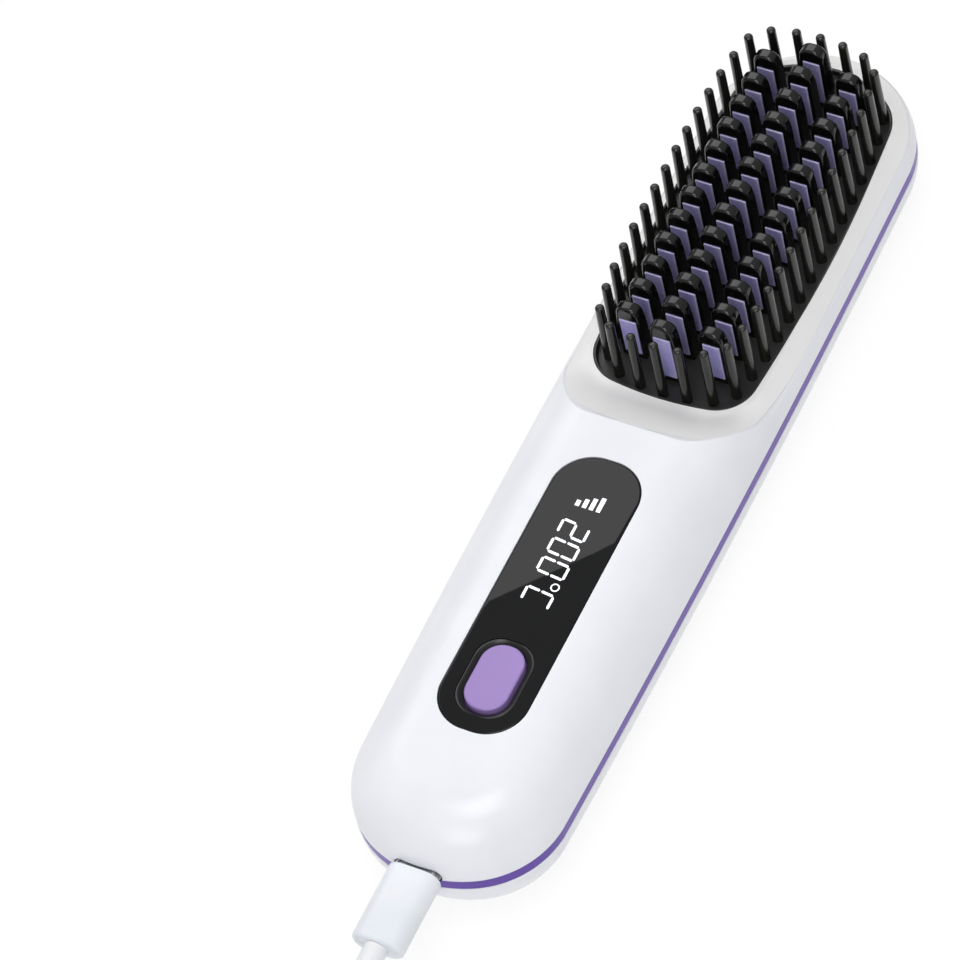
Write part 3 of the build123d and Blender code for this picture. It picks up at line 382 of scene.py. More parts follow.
def rise_from(ring, name, height):
    """A closed upright block over a flat ring of points. It is left in edit mode."""
    bpy.ops.mesh.primitive_circle_add(vertices=len(ring), radius=HALF_LENGTH, fill_type="NGON")
    block = bpy.context.object
    block.name = name
    for vertex, point in zip(block.data.vertices, ring):
        vertex.co = point
    bpy.ops.object.mode_set(mode="EDIT")
    bpy.ops.mesh.select_all(action="SELECT")
    bpy.ops.mesh.extrude_region_move(TRANSFORM_OT_translate={"value": (0.0, 0.0, height)})
    bpy.ops.mesh.select_all(action="SELECT")
    bpy.ops.mesh.normals_make_consistent(inside=False)
    return block


def block_on(outline, name, inset, low, high, round_low=(0.0, 1), round_high=(0.0, 1)):
    """A closed block on an outline that is drawn in by inset, with its two rims rounded."""
    foot = Vector((0.0, 0.0, low))
    ring = [place - inset * outward + foot for place, outward in outline]
    block = rise_from(ring, name, high - low)
    if round_high[0]:
        round_rim(lambda corner: corner.z > high - HAIR, *round_high)
    if round_low[0]:
        round_rim(lambda corner: corner.z < low + HAIR, *round_low)
    bpy.ops.object.mode_set(mode="OBJECT")
    return block


def cut(piece, tool, operation="DIFFERENCE"):
    """Works one closed piece with another, which is used up."""
    bpy.context.view_layer.objects.active = piece
    change = piece.modifiers.new("cut", "BOOLEAN")
    change.operation = operation
    change.solver = "MANIFOLD"
    change.object = tool
    bpy.ops.object.modifier_apply(modifier="cut")
    bpy.data.objects.remove(tool)


def drum(name, place, radius, depth, sides=24):
    """An upright closed drum that stands on its place."""
    bpy.ops.mesh.primitive_cylinder_add(
        vertices=sides, radius=radius, depth=depth, location=(place[0], place[1], place[2] + depth / 2))
    bpy.ops.object.transform_apply(location=True, rotation=True, scale=True)
    bpy.context.object.name = name
    return bpy.context.object


def box(name, low, high):
    """A closed box between two corners."""
    low, high = Vector(low), Vector(high)
    bpy.ops.mesh.primitive_cube_add(size=1.0)
    block = bpy.context.object
    block.name = name
    block.data.transform(Matrix.Diagonal((*(high - low), 1.0)))
    block.data.transform(Matrix.Translation((low + high) / 2))
    return block


def slot_block(name, width, height, tail_y, head_y):
    """A block with half-round sides that lies along Y, in line with the port."""
    block = box(name, (-width / 2, tail_y, PORT_HEIGHT - height / 2),
                (width / 2, head_y, PORT_HEIGHT + height / 2))
    bpy.ops.object.mode_set(mode="EDIT")
    round_edges(lambda edge: runs_along("y", edge), height / 2 * 0.999, 10)
    bpy.ops.object.mode_set(mode="OBJECT")
    return block


def port_cutter():
    """The charging port's oval, through the tail of the body."""
    return slot_block(
        "port_cutter", PORT_WIDTH, PORT_DEPTH, -HALF_LENGTH - 2 * MM, -HALF_LENGTH + 6 * MM)


def smooth(piece, angle=30.0):
    """Shades a piece smoothly across all edges flatter than the angle."""
    bpy.ops.object.select_all(action="DESELECT")
    piece.select_set(True)
    bpy.context.view_layer.objects.active = piece
    bpy.ops.object.mode_set(mode="EDIT")
    bpy.ops.mesh.select_all(action="SELECT")
    bpy.ops.mesh.dissolve_limited(angle_limit=math.radians(0.05))
    bpy.ops.object.mode_set(mode="OBJECT")
    bpy.ops.object.shade_smooth_by_angle(angle=math.radians(angle))
    bpy.ops.object.modifier_add(type="WEIGHTED_NORMAL")
    piece.modifiers[-1].keep_sharp = True
    bpy.ops.object.modifier_apply(modifier=piece.modifiers[-1].name)
    piece.select_set(False)


def fit(piece, finish, body, slot, *nodes):
    """Gives a piece its finish and its body, and hides the plain solids it stands for. The slot is not
    used.
    """
    piece.data.materials.clear()
    piece.data.materials.append(finish)
    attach(piece, body)
    if nodes:
        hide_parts(*nodes)


# White ABS from a polished tool: clean and cool, a soft wide gloss, a barely seen orange peel.
white_abs = moulded("polished_white_abs", "EDEEF3", "F4F5F9", 0.30, 0.0016, 0.000006, 0.03)

BACK_POSTS = [(-9.5, -77.0, 12.7), (9.5, -77.0, 12.7), (0.0, -73.0, 6.8), (0.0, 2.0, 6.8)]   # mm
POST_RADIUS = 2.2 * MM
POST_ROOT = 0.3 * MM
SCREW_HOLE_RADIUS = 0.9 * MM
SCREW_HOLE_DEPTH = 4.2 * MM
back_cover = block_on(
    BODY_OUTLINE, "back_shell", 0.0, 0.0, SEAM_BOTTOM,
    round_low=(SHOULDER, 18), round_high=(RIM_SOFTNESS, 3))
cut(back_cover, block_on(
    BODY_OUTLINE, "back_hollow", WALL, WALL, SEAM_BOTTOM + 2 * MM, round_low=(SHOULDER - WALL, 12)))
for x, y, top in BACK_POSTS:
    root = WALL - POST_ROOT
    post = drum("post", (x * MM, y * MM, root), POST_RADIUS, top * MM - root)
    cut(post, drum(
        "screw_hole", (x * MM, y * MM, top * MM - SCREW_HOLE_DEPTH), SCREW_HOLE_RADIUS, 5 * MM, 16))
    cut(back_cover, post, "UNION")
smooth(back_cover)
fit(back_cover, white_abs, "brush", "shell_white", "back_cover")


# ---- main board ----
# A green fibreglass board that charges the cells and switches the heater, under solder mask on
# both faces. It lies on two posts at the tail, so that its socket meets the port in the shell.
def refinish(finish, *nodes):
    """Gives solids that stay as they are a better finish."""
    for node in nodes:
        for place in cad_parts[node].material_slots:
            place.material = finish


# Solder mask over copper: deep green gloss, and the tracks under it show as paler raised lines.
solder_mask, tree, shader, place = new_finish("green_solder_mask")
tracks = add_node(tree, "TexBrick", {
    "Scale": 1 / 0.006, "Mortar Size": 0.025, "Mortar Smooth": 0.3,
    "Color1": linear("0C4529"), "Color2": linear("0F4F30"), "Mortar": linear("2A7A52"),
}, {"Vector": place})
weave = add_node(tree, "TexNoise", {"Scale": 1 / 0.0005, "Detail": 2.0}, {"Vector": place})
tree.links.new(tracks.outputs["Color"], shader.inputs["Base Color"])
wear(tree, shader, tracks.outputs["Fac"], relief=(0.5, 0.00004))
wear(tree, shader, weave.outputs["Fac"], roughness=(0.18, 0.32))
refinish(solder_mask, "main_board")


# ---- parts on the board ----
# The controller is a flat epoxy package and the inductor a pressed ferrite block. The small parts
# round them are fired ceramic with tinned ends. All are soldered flat on the board's front.
epoxy = moulded("black_epoxy_package", "151517", "1D1D20", 0.55, 0.0003, 0.000012)
ferrite = moulded("pressed_ferrite", "242426", "303033", 0.48, 0.0006, 0.00003)
refinish(epoxy, "controller_chip")
refinish(ferrite, "power_inductor")


def bare_metal(name, dark, light, roughness, along, grain):
    """Bare metal: fine lines along one axis, as rolling or drawing leaves, that break up its shine."""
    finish, tree, shader, place = new_finish(name)
    stretch = add_node(tree, "Mapping", links={"Vector": place})
    stretch.inputs["Scale"].default_value = [0.04 if axis == along else 1.0 for axis in "XYZ"]
    lines = add_node(
        tree, "TexNoise", {"Scale": 1 / grain, "Detail": 2.0}, {"Vector": stretch.outputs["Vector"]})
    span = (roughness - 0.06, roughness + 0.06)
    wear(tree, shader, lines.outputs["Fac"], (dark, light, 0.3, 0.7), span)
    shader.inputs["Metallic"].default_value = 1.0
    return finish


# Tinned ends and solder: soft grey, a little uneven. Rolled steel: cooler, with fine drawn lines.
tinned = bare_metal("soldered_tin", "A6A49A", "C6C4BA", 0.34, "X", 0.0004)
rolled_steel = bare_metal("rolled_steel", "B4B5B8", "CDCED1", 0.26, "Y", 0.0002)
refinish(tinned, "board_parts")
refinish(rolled_steel, "usb_socket", "board_screws")


# ---- cell holder ----
# Two round cells lie side by side in an open frame of black ABS, on grey foam pads that stop them
# rattling. Two self-tapping screws fix the frame to the posts of the back cover.
frame_abs = moulded("matt_black_abs", "161618", "1E1E21", 0.50, 0.0004, 0.00002)
refinish(frame_abs, "battery_holder")
refinish(rolled_steel, "holder_screws")
# Closed-cell foam: dull mid grey, pitted all over by its cut bubbles.
foam, tree, shader, place = new_finish("grey_pe_foam")
bubbles = add_node(tree, "TexVoronoi", {"Scale": 1 / 0.0006}, {"Vector": place})
wear(tree, shader, bubbles.outputs["Distance"], ("505052", "6C6C6F", 0.1, 0.7), relief=(0.8, 0.0001))
set_values(shader, {"Roughness": 0.95})
refinish(foam, "battery_pads")


# ---- cells ----
# Two lithium cells in heat-shrunk PVC sleeves, side by side, joined by spot-welded nickel straps.
# Red silicone leads run from the straps to the board.
shrink_film = moulded("blue_shrink_sleeve", "3F68A6", "4E7ABA", 0.22, 0.0030, 0.00006)
refinish(shrink_film, "battery_cells")
bright_nickel = bare_metal("bright_nickel", "C6C2B6", "DAD7CC", 0.22, "Y", 0.0003)
refinish(bright_nickel, "battery_straps")
silicone_red = moulded("red_silicone_sleeve", "96130F", "AA1D18", 0.45, 0.0005, 0.00002)
refinish(silicone_red, "battery_leads")


# ---- trim band ----
# A purple band, 2.7 mm high, held between the two covers all round the waist. It is plated ABS,
# so it looks like coloured metal. A notch at the tail makes the floor of the charging port.
TRIM_RECESS = 0.15 * MM
TRIM_DEPTH = 1.55 * MM
trim_band = block_on(
    BODY_OUTLINE, "trim_band", TRIM_RECESS, SEAM_BOTTOM + 0.02 * MM, SEAM_TOP - 0.02 * MM,
    round_low=(0.12 * MM, 2), round_high=(0.12 * MM, 2))
cut(trim_band, block_on(
    BODY_OUTLINE, "trim_hole", TRIM_RECESS + TRIM_DEPTH, SEAM_BOTTOM - MM, SEAM_TOP + MM))
cut(trim_band, port_cutter())
smooth(trim_band)

# Plated ABS under tinted lacquer: a violet metal with a clear coat and hair-fine drag marks.
plated_violet, tree, shader, place = new_finish("violet_plated_abs")
stretch = add_node(tree, "Mapping", links={"Vector": place})
stretch.inputs["Scale"].default_value = (1.0, 1.0, 12.0)
drag = add_node(
    tree, "TexNoise", {"Scale": 1 / 0.0012, "Detail": 3.0}, {"Vector": stretch.outputs["Vector"]})
wear(tree, shader, drag.outputs["Fac"], ("55339A", "6340A8", 0.3, 0.7), (0.24, 0.36))
set_values(shader, {
    "Metallic": 0.3, "Specular IOR Level": 0.35, "Coat Weight": 0.05, "Coat Roughness": 0.08})
fit(trim_band, plated_violet, "brush", "trim_purple", "side_trim")


# ---- front cover ----
# The upper shell: the same polished white ABS, with the same 12 mm round. It is cut away over the
# head down to the bezel's seat, and pierced for the read-out and for the charging port.
CROWN_HEIGHT = 27.1 * MM
COMB_Y = 48.9 * MM
DECK_Y = 46.3 * MM
DECK_HALF_WIDTH = 17.7 * MM
DECK_SIDE_RADIUS = 345.0 * MM
DECK_TAIL = (37.3 * MM, 64.0 * MM, 7.8 * MM)          # reach, radius of the end's arc, of its corners
DECK_HEAD = (43.5 * MM, 20.7 * MM, 9.5 * MM)
SEAT_HALF_WIDTH = 21.3 * MM
SEAT_TAIL = (47.2 * MM, 52.0 * MM, 9.5 * MM)
SEAT_HEAD = (60.0 * MM, 60.0 * MM, 5.0 * MM)
RIM_HEIGHT = 22.1 * MM
BEVEL_WIDTH = 3.8 * MM
RAMP_START = 9.1 * MM
RAMP_EASE = 2.6 * MM
RAMP_SLOPE = 0.562
RIM_CORNER = 9.0 * MM
CORNER_EASE = 3.5
SIDE_REACH = 6 * MM                          # how far the sloped sides go out from the rim
RAMP_REACH = 120 * MM                        # how far the ramp goes, which is past the handle
NEAR_REACH = 12 * MM                         # the rings of the form lie this near to the rim
NEAR_RINGS = 8
CHEEK_Y = 20 * MM                            # from here to the head, a plain slope borders the rim
BEZEL_LIP = 0.16 * MM
BEZEL_THICKNESS = 2.2 * MM
LEDGE_DROP = 5.4 * MM
WINDOW_WIDTH = 17.6 * MM
WINDOW_LENGTH = 61.7 * MM
WINDOW_Y = -40.25 * MM
WINDOW_CORNER = 7.76 * MM


def front_dome(name, inset, rim=(0.0, 1)):
    """The front shell's outer form, drawn in by inset."""
    return block_on(
        BODY_OUTLINE, name, inset, SEAM_TOP, CROWN_HEIGHT - inset,
        round_low=rim, round_high=(SHOULDER - inset, 18))


def head_rim():
    """The edge of the head's flat rim: it follows the body, and turns across the head's tail."""
    corner = Vector((HALF_WIDTH - BEVEL_WIDTH - RIM_CORNER, RAMP_START + RIM_CORNER, 0.0))
    return closed_outline(
        [(Vector((0.0, RAMP_START, 0.0)), Vector((0.0, -1.0, 0.0)))]
        + arc_run(corner, RIM_CORNER, -math.pi / 2, 0.0, 0.3 * MM)
        + [
            (place - BEVEL_WIDTH * outward, outward) for place, outward in BODY_OUTLINE
            if place.x > -HAIR and place.y > corner.y
        ]
    )


def under_head(name, drop, side_slope=-1.0):
    """All that lies under the head's top: its flat rim, the ramp up to the handle, the sloped sides."""
    low = 4 * MM
    top = RIM_HEIGHT - drop
    form = bmesh.new()
    columns = []
    for place, outward in head_rim():
        if place.y > CHEEK_Y:
            reach, slope, soft = SIDE_REACH, side_slope, 0.0
        else:
            to_side = HALF_WIDTH + MM - abs(place.x)
            reach = min(RAMP_REACH, to_side / max(abs(outward.x), 1e-6))
            slope = RAMP_SLOPE + (side_slope - RAMP_SLOPE) * abs(outward.x) ** CORNER_EASE
            soft = 0.0 if outward.y > 0 else RAMP_EASE * outward.y**2
        near = min(NEAR_REACH, 0.9 * reach)
        runs = [reach] + [
            near * (ring / NEAR_RINGS) ** 1.5 for ring in range(NEAR_RINGS, -1, -1)]
        places = [place + reach * outward + Vector((0.0, 0.0, low))]
        for run in runs:
            climb = run - soft / 2 if run >= soft else run**2 / (2 * soft)
            places.append(place + run * outward + Vector((0.0, 0.0, top + slope * climb)))
        columns.append([form.verts.new(corner) for corner in places])
    for column, after in zip(columns, columns[1:] + columns[:1]):
        for level in range(len(column) - 1):
            form.faces.new((column[level], after[level], after[level + 1], column[level + 1]))
    form.faces.new([column[-1] for column in columns])
    form.faces.new([column[0] for column in reversed(columns)])
    bmesh.ops.recalc_face_normals(form, faces=form.faces)
    mesh = bpy.data.meshes.new(name)
    form.to_mesh(mesh)
    form.free()
    piece = bpy.data.objects.new(name, mesh)
    scene.collection.objects.link(piece)
    return piece


def rounded_block(name, low, high, corner, segments=12, top_round=(0.0, 1), bottom_round=(0.0, 1)):
    """A closed block between two corners, with upright rounded corners and rounded rims."""
    block = box(name, low, high)
    bpy.ops.object.mode_set(mode="EDIT")
    round_edges(lambda edge: runs_along("z", edge), corner, segments)
    if top_round[0]:
        round_rim(lambda corner: corner.z > high[2] - HAIR, *top_round)
    if bottom_round[0]:
        round_rim(lambda corner: corner.z < low[2] + HAIR, *bottom_round)
    bpy.ops.object.mode_set(mode="OBJECT")
    return block


def bezel_seat(name, play):
    """The space over the head that the bezel fills, drawn in by play."""
    seat = front_dome(name, BEZEL_LIP + play)
    cut(seat, under_head("seat_floor", BEZEL_THICKNESS - play))
    plan = bowed_outline(
        DECK_Y, SEAT_HALF_WIDTH, DECK_SIDE_RADIUS, SEAT_TAIL, SEAT_HEAD, 0.6 * MM)
    cut(seat, block_on(plan, "seat_plan", play, 0.0, 40 * MM), "INTERSECT")
    return seat


def window_block(name, grow, low, high, **rounds):
    """A block on the read-out's outline, grown all round."""
    return rounded_block(
        name,
        (-WINDOW_WIDTH / 2 - grow, WINDOW_Y - WINDOW_LENGTH / 2 - grow, low),
        (WINDOW_WIDTH / 2 + grow, WINDOW_Y + WINDOW_LENGTH / 2 + grow, high),
        WINDOW_CORNER + grow, 20, **rounds)


DECK_OUTLINE = bowed_outline(
    DECK_Y, DECK_HALF_WIDTH, DECK_SIDE_RADIUS, DECK_TAIL, DECK_HEAD, 0.6 * MM)

front_cover = front_dome("front_shell", 0.0, (RIM_SOFTNESS, 3))
cut(front_cover, window_block("window_hole", 0.06 * MM, 20 * MM, 30 * MM))
cut(front_cover, under_head("head_form", 0.0), "INTERSECT")
cavity = block_on(
    BODY_OUTLINE, "front_hollow", WALL, SEAM_TOP - MM, CROWN_HEIGHT - WALL,
    round_high=(SHOULDER - WALL, 12))
cut(cavity, under_head("ledge_form", LEDGE_DROP, 0.0), "INTERSECT")
cut(front_cover, cavity)
cut(front_cover, bezel_seat("seat", 0.0))
cut(front_cover, block_on(DECK_OUTLINE, "comb_hole", 0.0, SEAM_TOP, 30 * MM))
cut(front_cover, port_cutter())
smooth(front_cover, 24.0)
fit(front_cover, white_abs, "brush", "shell_white", "front_cover")


# ---- head bezel ----
# A warm grey ABS frame dropped into the front cover round the comb: bevelled towards the sides,
# and ramped up to the handle. It is finished matt, and a hairline of white shell borders it.
bezel = bezel_seat("head_bezel_frame", 0.05 * MM)
cut(bezel, under_head("bezel_top", 0.0), "INTERSECT")
cut(bezel, block_on(DECK_OUTLINE, "bezel_hole", -0.06 * MM, SEAM_TOP, 30 * MM))
smooth(bezel, 24.0)
# Fine-textured ABS: warm, quiet grey with no hard reflections.
grey_abs = moulded("textured_grey_abs", "F2F1F0", "F5F4F3", 0.46, 0.0004, 0.000012)
fit(bezel, grey_abs, "brush", "bezel_grey", "head_bezel")


# ---- comb deck ----
# The comb's base: heat-proof black nylon, set down inside the bezel, with a thin lip round it and
# a hollow below that takes the heating plate.
DECK_HEIGHT = 20.7 * MM
DECK_BOTTOM = 15.1 * MM
DECK_WALL = 1.6 * MM
DECK_LIP = 0.45 * MM
deck = block_on(
    DECK_OUTLINE, "comb_base", 0.03 * MM, DECK_BOTTOM, RIM_HEIGHT, round_high=(0.18 * MM, 2))
cut(deck, block_on(
    DECK_OUTLINE, "deck_dish", DECK_LIP, DECK_HEIGHT, 25 * MM, round_low=(0.5 * MM, 4)))
cut(deck, block_on(
    DECK_OUTLINE, "deck_hollow", DECK_WALL, DECK_BOTTOM - 5.1 * MM, DECK_HEIGHT - DECK_WALL))
smooth(deck)
# Glass-filled nylon: near black, slightly olive, satin, with a fine pebbled skin.
black_nylon = moulded("satin_black_nylon", "20201F", "2A2A28", 0.38, 0.0005, 0.00002, 0.10)
fit(deck, black_nylon, "brush", "comb_black", "comb_deck")


# ---- heating plate ----
# One die-cast aluminium plate with 37 upright blades, anodised violet. The blades stand in three
# columns, each let into the tail side of its guard, and pull the heat up into the hair. Only what
# shows of a blade is drawn, from 1.5 mm above the deck.
TOOTH_WIDTH = 4.4 * MM
TOOTH_THICKNESS = 2.5 * MM
TOOTH_COLUMN_X = 8.5 * MM
TOOTH_PITCH = 5.62 * MM
TOOTH_SETBACK = 0.9 * MM
BLADE_WIDTH = 3.45 * MM
BLADE_PROUD = 0.25 * MM
BLADE_DEPTH = 1.15 * MM
BLADE_FOOT = 22.2 * MM
BLADE_ROUND = 0.16 * MM
SIDE_TOP, MIDDLE_TOP = 32.05 * MM, 34.0 * MM          # how high the blades of each column end
EDGE_TILT = 0.98                                      # below this a face turns, and is an edge
PLATE_LOW = (-14.4 * MM, COMB_Y - 36 * MM, 16.6 * MM)
PLATE_HIGH = (14.4 * MM, COMB_Y + 36 * MM, 18.8 * MM)
COMB_COLUMNS = [
    (-TOOTH_COLUMN_X, 12, SIDE_TOP), (0.0, 13, MIDDLE_TOP), (TOOTH_COLUMN_X, 12, SIDE_TOP)]
TEETH = [
    (x, COMB_Y - TOOTH_SETBACK + TOOTH_PITCH * (index - (count - 1) / 2), top)
    for x, count, top in COMB_COLUMNS for index in range(count)
]


def copy_of(piece, move):
    """A copy with its own mesh, moved."""
    twin = piece.copy()
    twin.data = piece.data.copy()
    twin.data.transform(Matrix.Translation(move))
    scene.collection.objects.link(twin)
    return twin


def join_all(pieces, name, patterns=()):
    """Joins pieces into one, and clears away the patterns that they were copied from."""
    for pattern in patterns:
        bpy.data.objects.remove(pattern)
    bpy.ops.object.select_all(action="DESELECT")
    for piece in pieces:
        piece.select_set(True)
    bpy.context.view_layer.objects.active = pieces[0]
    bpy.ops.object.join()
    pieces[0].name = name
    bpy.ops.object.select_all(action="DESELECT")
    return pieces[0]


# Anodised aluminium: periwinkle violet and satin on the faces; every rounded edge is painted pale
# violet, a painted highlight.
anodised, tree, shader, place = new_finish("violet_anodised_aluminium")
flow = add_node(tree, "TexNoise", {"Scale": 1 / 0.003, "Detail": 3.0}, {"Vector": place})
blast = add_node(tree, "TexNoise", {"Scale": 1 / 0.0003, "Detail": 2.0}, {"Vector": place})
wear(tree, shader, flow.outputs["Fac"], ("BCB4FC", "CCC6FF", 0.3, 0.7))
wear(tree, shader, blast.outputs["Fac"], roughness=(0.25, 0.42))
set_values(shader, {"Metallic": 0.1})
# Pale violet for the blades' rounded edges: a painted highlight.
painted_edge_highlight = moulded("anodised_edge_painted_highlight", "D8D2FC", "E6E1FF", 0.3, 0.0003, 0.000005)

blades = {}
for top in (SIDE_TOP, MIDDLE_TOP):
    blade = rounded_block(
        "blade", (-BLADE_WIDTH / 2, -BLADE_PROUD, BLADE_FOOT), (BLADE_WIDTH / 2, BLADE_DEPTH, top),
        BLADE_ROUND, 2, top_round=(BLADE_ROUND, 2), bottom_round=(BLADE_ROUND, 2))
    blade.data.materials.append(anodised)
    blade.data.materials.append(painted_edge_highlight)
    # Faces that turn off the box's axes are its rounded edges, and get the painted highlight.
    for face in blade.data.polygons:
        straightness = max(abs(share) for share in face.normal)
        face.material_index = 1 if straightness < EDGE_TILT else 0
    blades[top] = blade
plate = rounded_block("heating_plate_piece", PLATE_LOW, PLATE_HIGH, 7 * MM, 6)
plate.data.materials.append(anodised)
stock = [plate] + [copy_of(blades[top], (x, y, 0.0)) for x, y, top in TEETH]
plate = join_all(stock, "heating_plate_piece", blades.values())
smooth(plate)
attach(plate, "brush")
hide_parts("heating_plate")


# ---- heater ----
# A flat ceramic element between sheets of amber polyimide film. A folded steel clamp presses it
# against the plate's back, and the leads of red silicone carry its current from the board.
alumina = moulded("fired_alumina", "DDD9CF", "EBE8DF", 0.62, 0.0003, 0.00001)
refinish(alumina, "heater_element")
# Polyimide film: clear amber gloss with faint casting lines.
polyimide, tree, shader, place = new_finish("amber_polyimide_film")
ripple = add_node(tree, "TexNoise", {"Scale": 1 / 0.0025, "Detail": 2.0}, {"Vector": place})
wear(tree, shader, ripple.outputs["Fac"], ("94560F", "B9771F", 0.3, 0.7), (0.12, 0.26))
refinish(polyimide, "heater_insulation")
refinish(rolled_steel, "heater_clamp")
refinish(silicone_red, "heater_leads")


# ---- heat sensors ----
# A bead thermistor and a tinned-copper thermal fuse lie in the stack and guard it from overheating.
# Glass bead: reddish amber, clear and drawn smooth.
bead_glass, tree, shader, place = new_finish("amber_bead_glass")
swirl = add_node(tree, "TexNoise", {"Scale": 1 / 0.0015, "Detail": 2.0}, {"Vector": place})
wear(tree, shader, swirl.outputs["Fac"], ("B8581C", "D27A34"), (0.02, 0.10))
set_values(shader, {"Transmission Weight": 0.7})
refinish(bead_glass, "thermistor")
refinish(tinned, "thermal_fuse")


# ---- heater tray ----
# A black heat-proof nylon tray holds the stack up against the deck. Four screws pass through its
# bosses, so tray, plate and deck come away from the head as one unit.
tray_nylon = moulded("heat_proof_black_nylon", "19191A", "232324", 0.52, 0.0004, 0.00002)
refinish(tray_nylon, "heater_tray")
refinish(rolled_steel, "comb_screws")


# ---- tooth guards ----
# Each blade leans against a round-topped guard of the black nylon, which stands 3.2 mm above it,
# so that the skin never meets hot metal. They are moulded with the deck and left glossy.
GUARD_OVER_BLADE = 3.2 * MM
GUARD_WIDTH = TOOTH_WIDTH + 0.5 * MM
GUARD_SHOULDER = 2.0 * MM
GUARD_ROUND = 0.6 * MM
RECESS_PLAY = 0.02 * MM
guards = {}
for top in (SIDE_TOP, MIDDLE_TOP):
    crest = top + GUARD_OVER_BLADE
    guard = box(
        "guard", (-GUARD_WIDTH / 2, 0.0, DECK_HEIGHT - MM), (GUARD_WIDTH / 2, TOOTH_THICKNESS, crest))
    bpy.ops.object.mode_set(mode="EDIT")
    round_edges(
        lambda edge: runs_along("y", edge) and edge.verts[0].co.z > crest - HAIR, GUARD_SHOULDER, 8)
    for side in (0.0, TOOTH_THICKNESS):
        round_rim(
            lambda corner: abs(corner.y - side) < HAIR and corner.z > DECK_HEIGHT - MM / 2,
            GUARD_ROUND, 5)
    bpy.ops.object.mode_set(mode="OBJECT")
    half_recess = BLADE_WIDTH / 2 + RECESS_PLAY
    cut(guard, rounded_block(
        "blade_recess", (-half_recess, -MM, BLADE_FOOT - RECESS_PLAY),
        (half_recess, BLADE_DEPTH, top + RECESS_PLAY), 0.05 * MM, 1))
    guards[top] = guard
# Gloss black nylon: the same resin where the tool is polished.
gloss_nylon = moulded("gloss_black_nylon", "0B0B0A", "111110", 0.13, 0.0009, 0.000004, 0.04)
stock = [copy_of(guards[top], (x, y, 0.0)) for x, y, top in TEETH]
guard_set = join_all(stock, "guard_set", guards.values())
smooth(guard_set)
fit(guard_set, gloss_nylon, "brush", "comb_black", "tooth_guards")


# ---- spacer pins ----
# Forty round-tipped nylon pins stand round the deck's edge and keep the heated teeth off the
# scalp. They taper a little and lean in towards the middle.
PIN_TIP_HEIGHT = 36.35 * MM
PIN_PITCH = 4.75 * MM
PIN_TIP_RADIUS = 0.9 * MM
PIN_FOOT_RADIUS = 1.05 * MM
PIN_LEAN = 0.3 * MM
SIDE_ROW_X, SIDE_ROW_CURVE = 15.0 * MM, 2.0 * MM      # a row of 15: its reach, how its ends turn in
END_ROW_Y, END_ROW_CURVE = 37.6 * MM, 0.36 * MM       # the same for a row of 5
END_ROW_PITCH = 4.8 * MM
PIN_TIPS = [
    (side * (SIDE_ROW_X - SIDE_ROW_CURVE * (step / 7) ** 4), COMB_Y + PIN_PITCH * step)
    for step in range(-7, 8) for side in (-1, 1)
] + [
    (END_ROW_PITCH * step, COMB_Y + end * (END_ROW_Y - END_ROW_CURVE * step**2))
    for step in range(-2, 3) for end in (-1, 1)
]
pin_height = PIN_TIP_HEIGHT - DECK_HEIGHT
pin = drum("pin", (0.0, 0.0, 0.0), PIN_TIP_RADIUS, pin_height, 20)
bpy.ops.object.mode_set(mode="EDIT")
round_rim(lambda corner: corner.z > pin_height - HAIR, PIN_TIP_RADIUS * 0.6, 5)
pick("VERT", lambda corner: corner.co.z < HAIR)
widening = PIN_FOOT_RADIUS / PIN_TIP_RADIUS
bpy.ops.transform.resize(value=(widening, widening, 1.0))
bpy.ops.object.mode_set(mode="OBJECT")
stock = []
for x, y in PIN_TIPS:
    reach = math.hypot(x, y - COMB_Y)
    lean = Vector((x, y - COMB_Y, 0.0)) * PIN_LEAN / reach
    twin = copy_of(pin, (0.0, 0.0, 0.0))
    upright = Vector((0.0, 0.0, 1.0)).rotation_difference(Vector((0.0, 0.0, pin_height)) - lean)
    twin.data.transform(upright.to_matrix().to_4x4())
    twin.data.transform(Matrix.Translation((x + lean.x, y + lean.y, DECK_HEIGHT)))
    stock.append(twin)
pin_set = join_all(stock, "pin_set", [pin])
smooth(pin_set, 50.0)
# Soft nylon: an olive black that catches a long pale glint down one side.
pin_nylon = moulded("olive_black_nylon", "171815", "21221D", 0.20, 0.0006, 0.000006, 0.06)
fit(pin_set, pin_nylon, "brush", "comb_black", "comb_pins")


# ---- read-out module ----
# The segment display stands on a green board of its own, close under the lens. Two screws hold
# the board, and the dome switch for the power button sits on it in a folded steel can.
refinish(epoxy, "display_module")
refinish(solder_mask, "display_board")
refinish(rolled_steel, "tact_switch", "display_screws")


# ---- read-out window ----
# A pill-shaped lens of smoked acrylic, glued in from behind and flush with the shell. It is so
# dark that the board behind it never shows, only its lit figures do.
LENS_TOP = CROWN_HEIGHT - 0.05 * MM
LENS_SEAT = LENS_TOP - WALL
LENS_FLANGE = 0.8 * MM
FLANGE_THICKNESS = 0.55 * MM
BUTTON_Y = -59.4 * MM
RING_WIDTH = 11.7 * MM
RING_LENGTH = 16.8 * MM
RING_CORNER = 4.9 * MM


def button_block(name, width, length, corner, low, high, **rounds):
    """A block on the button's outline."""
    return rounded_block(
        name, (-width / 2, BUTTON_Y - length / 2, low), (width / 2, BUTTON_Y + length / 2, high),
        corner, 14, **rounds)


window = window_block("readout_window", -0.03 * MM, LENS_SEAT, LENS_TOP, top_round=(0.35 * MM, 4))
cut(window, window_block(
    "window_flange", LENS_FLANGE, LENS_SEAT - FLANGE_THICKNESS, LENS_SEAT), "UNION")
cut(window, button_block(
    "ring_hole", RING_WIDTH, RING_LENGTH, RING_CORNER, 20 * MM, 30 * MM))
smooth(window)
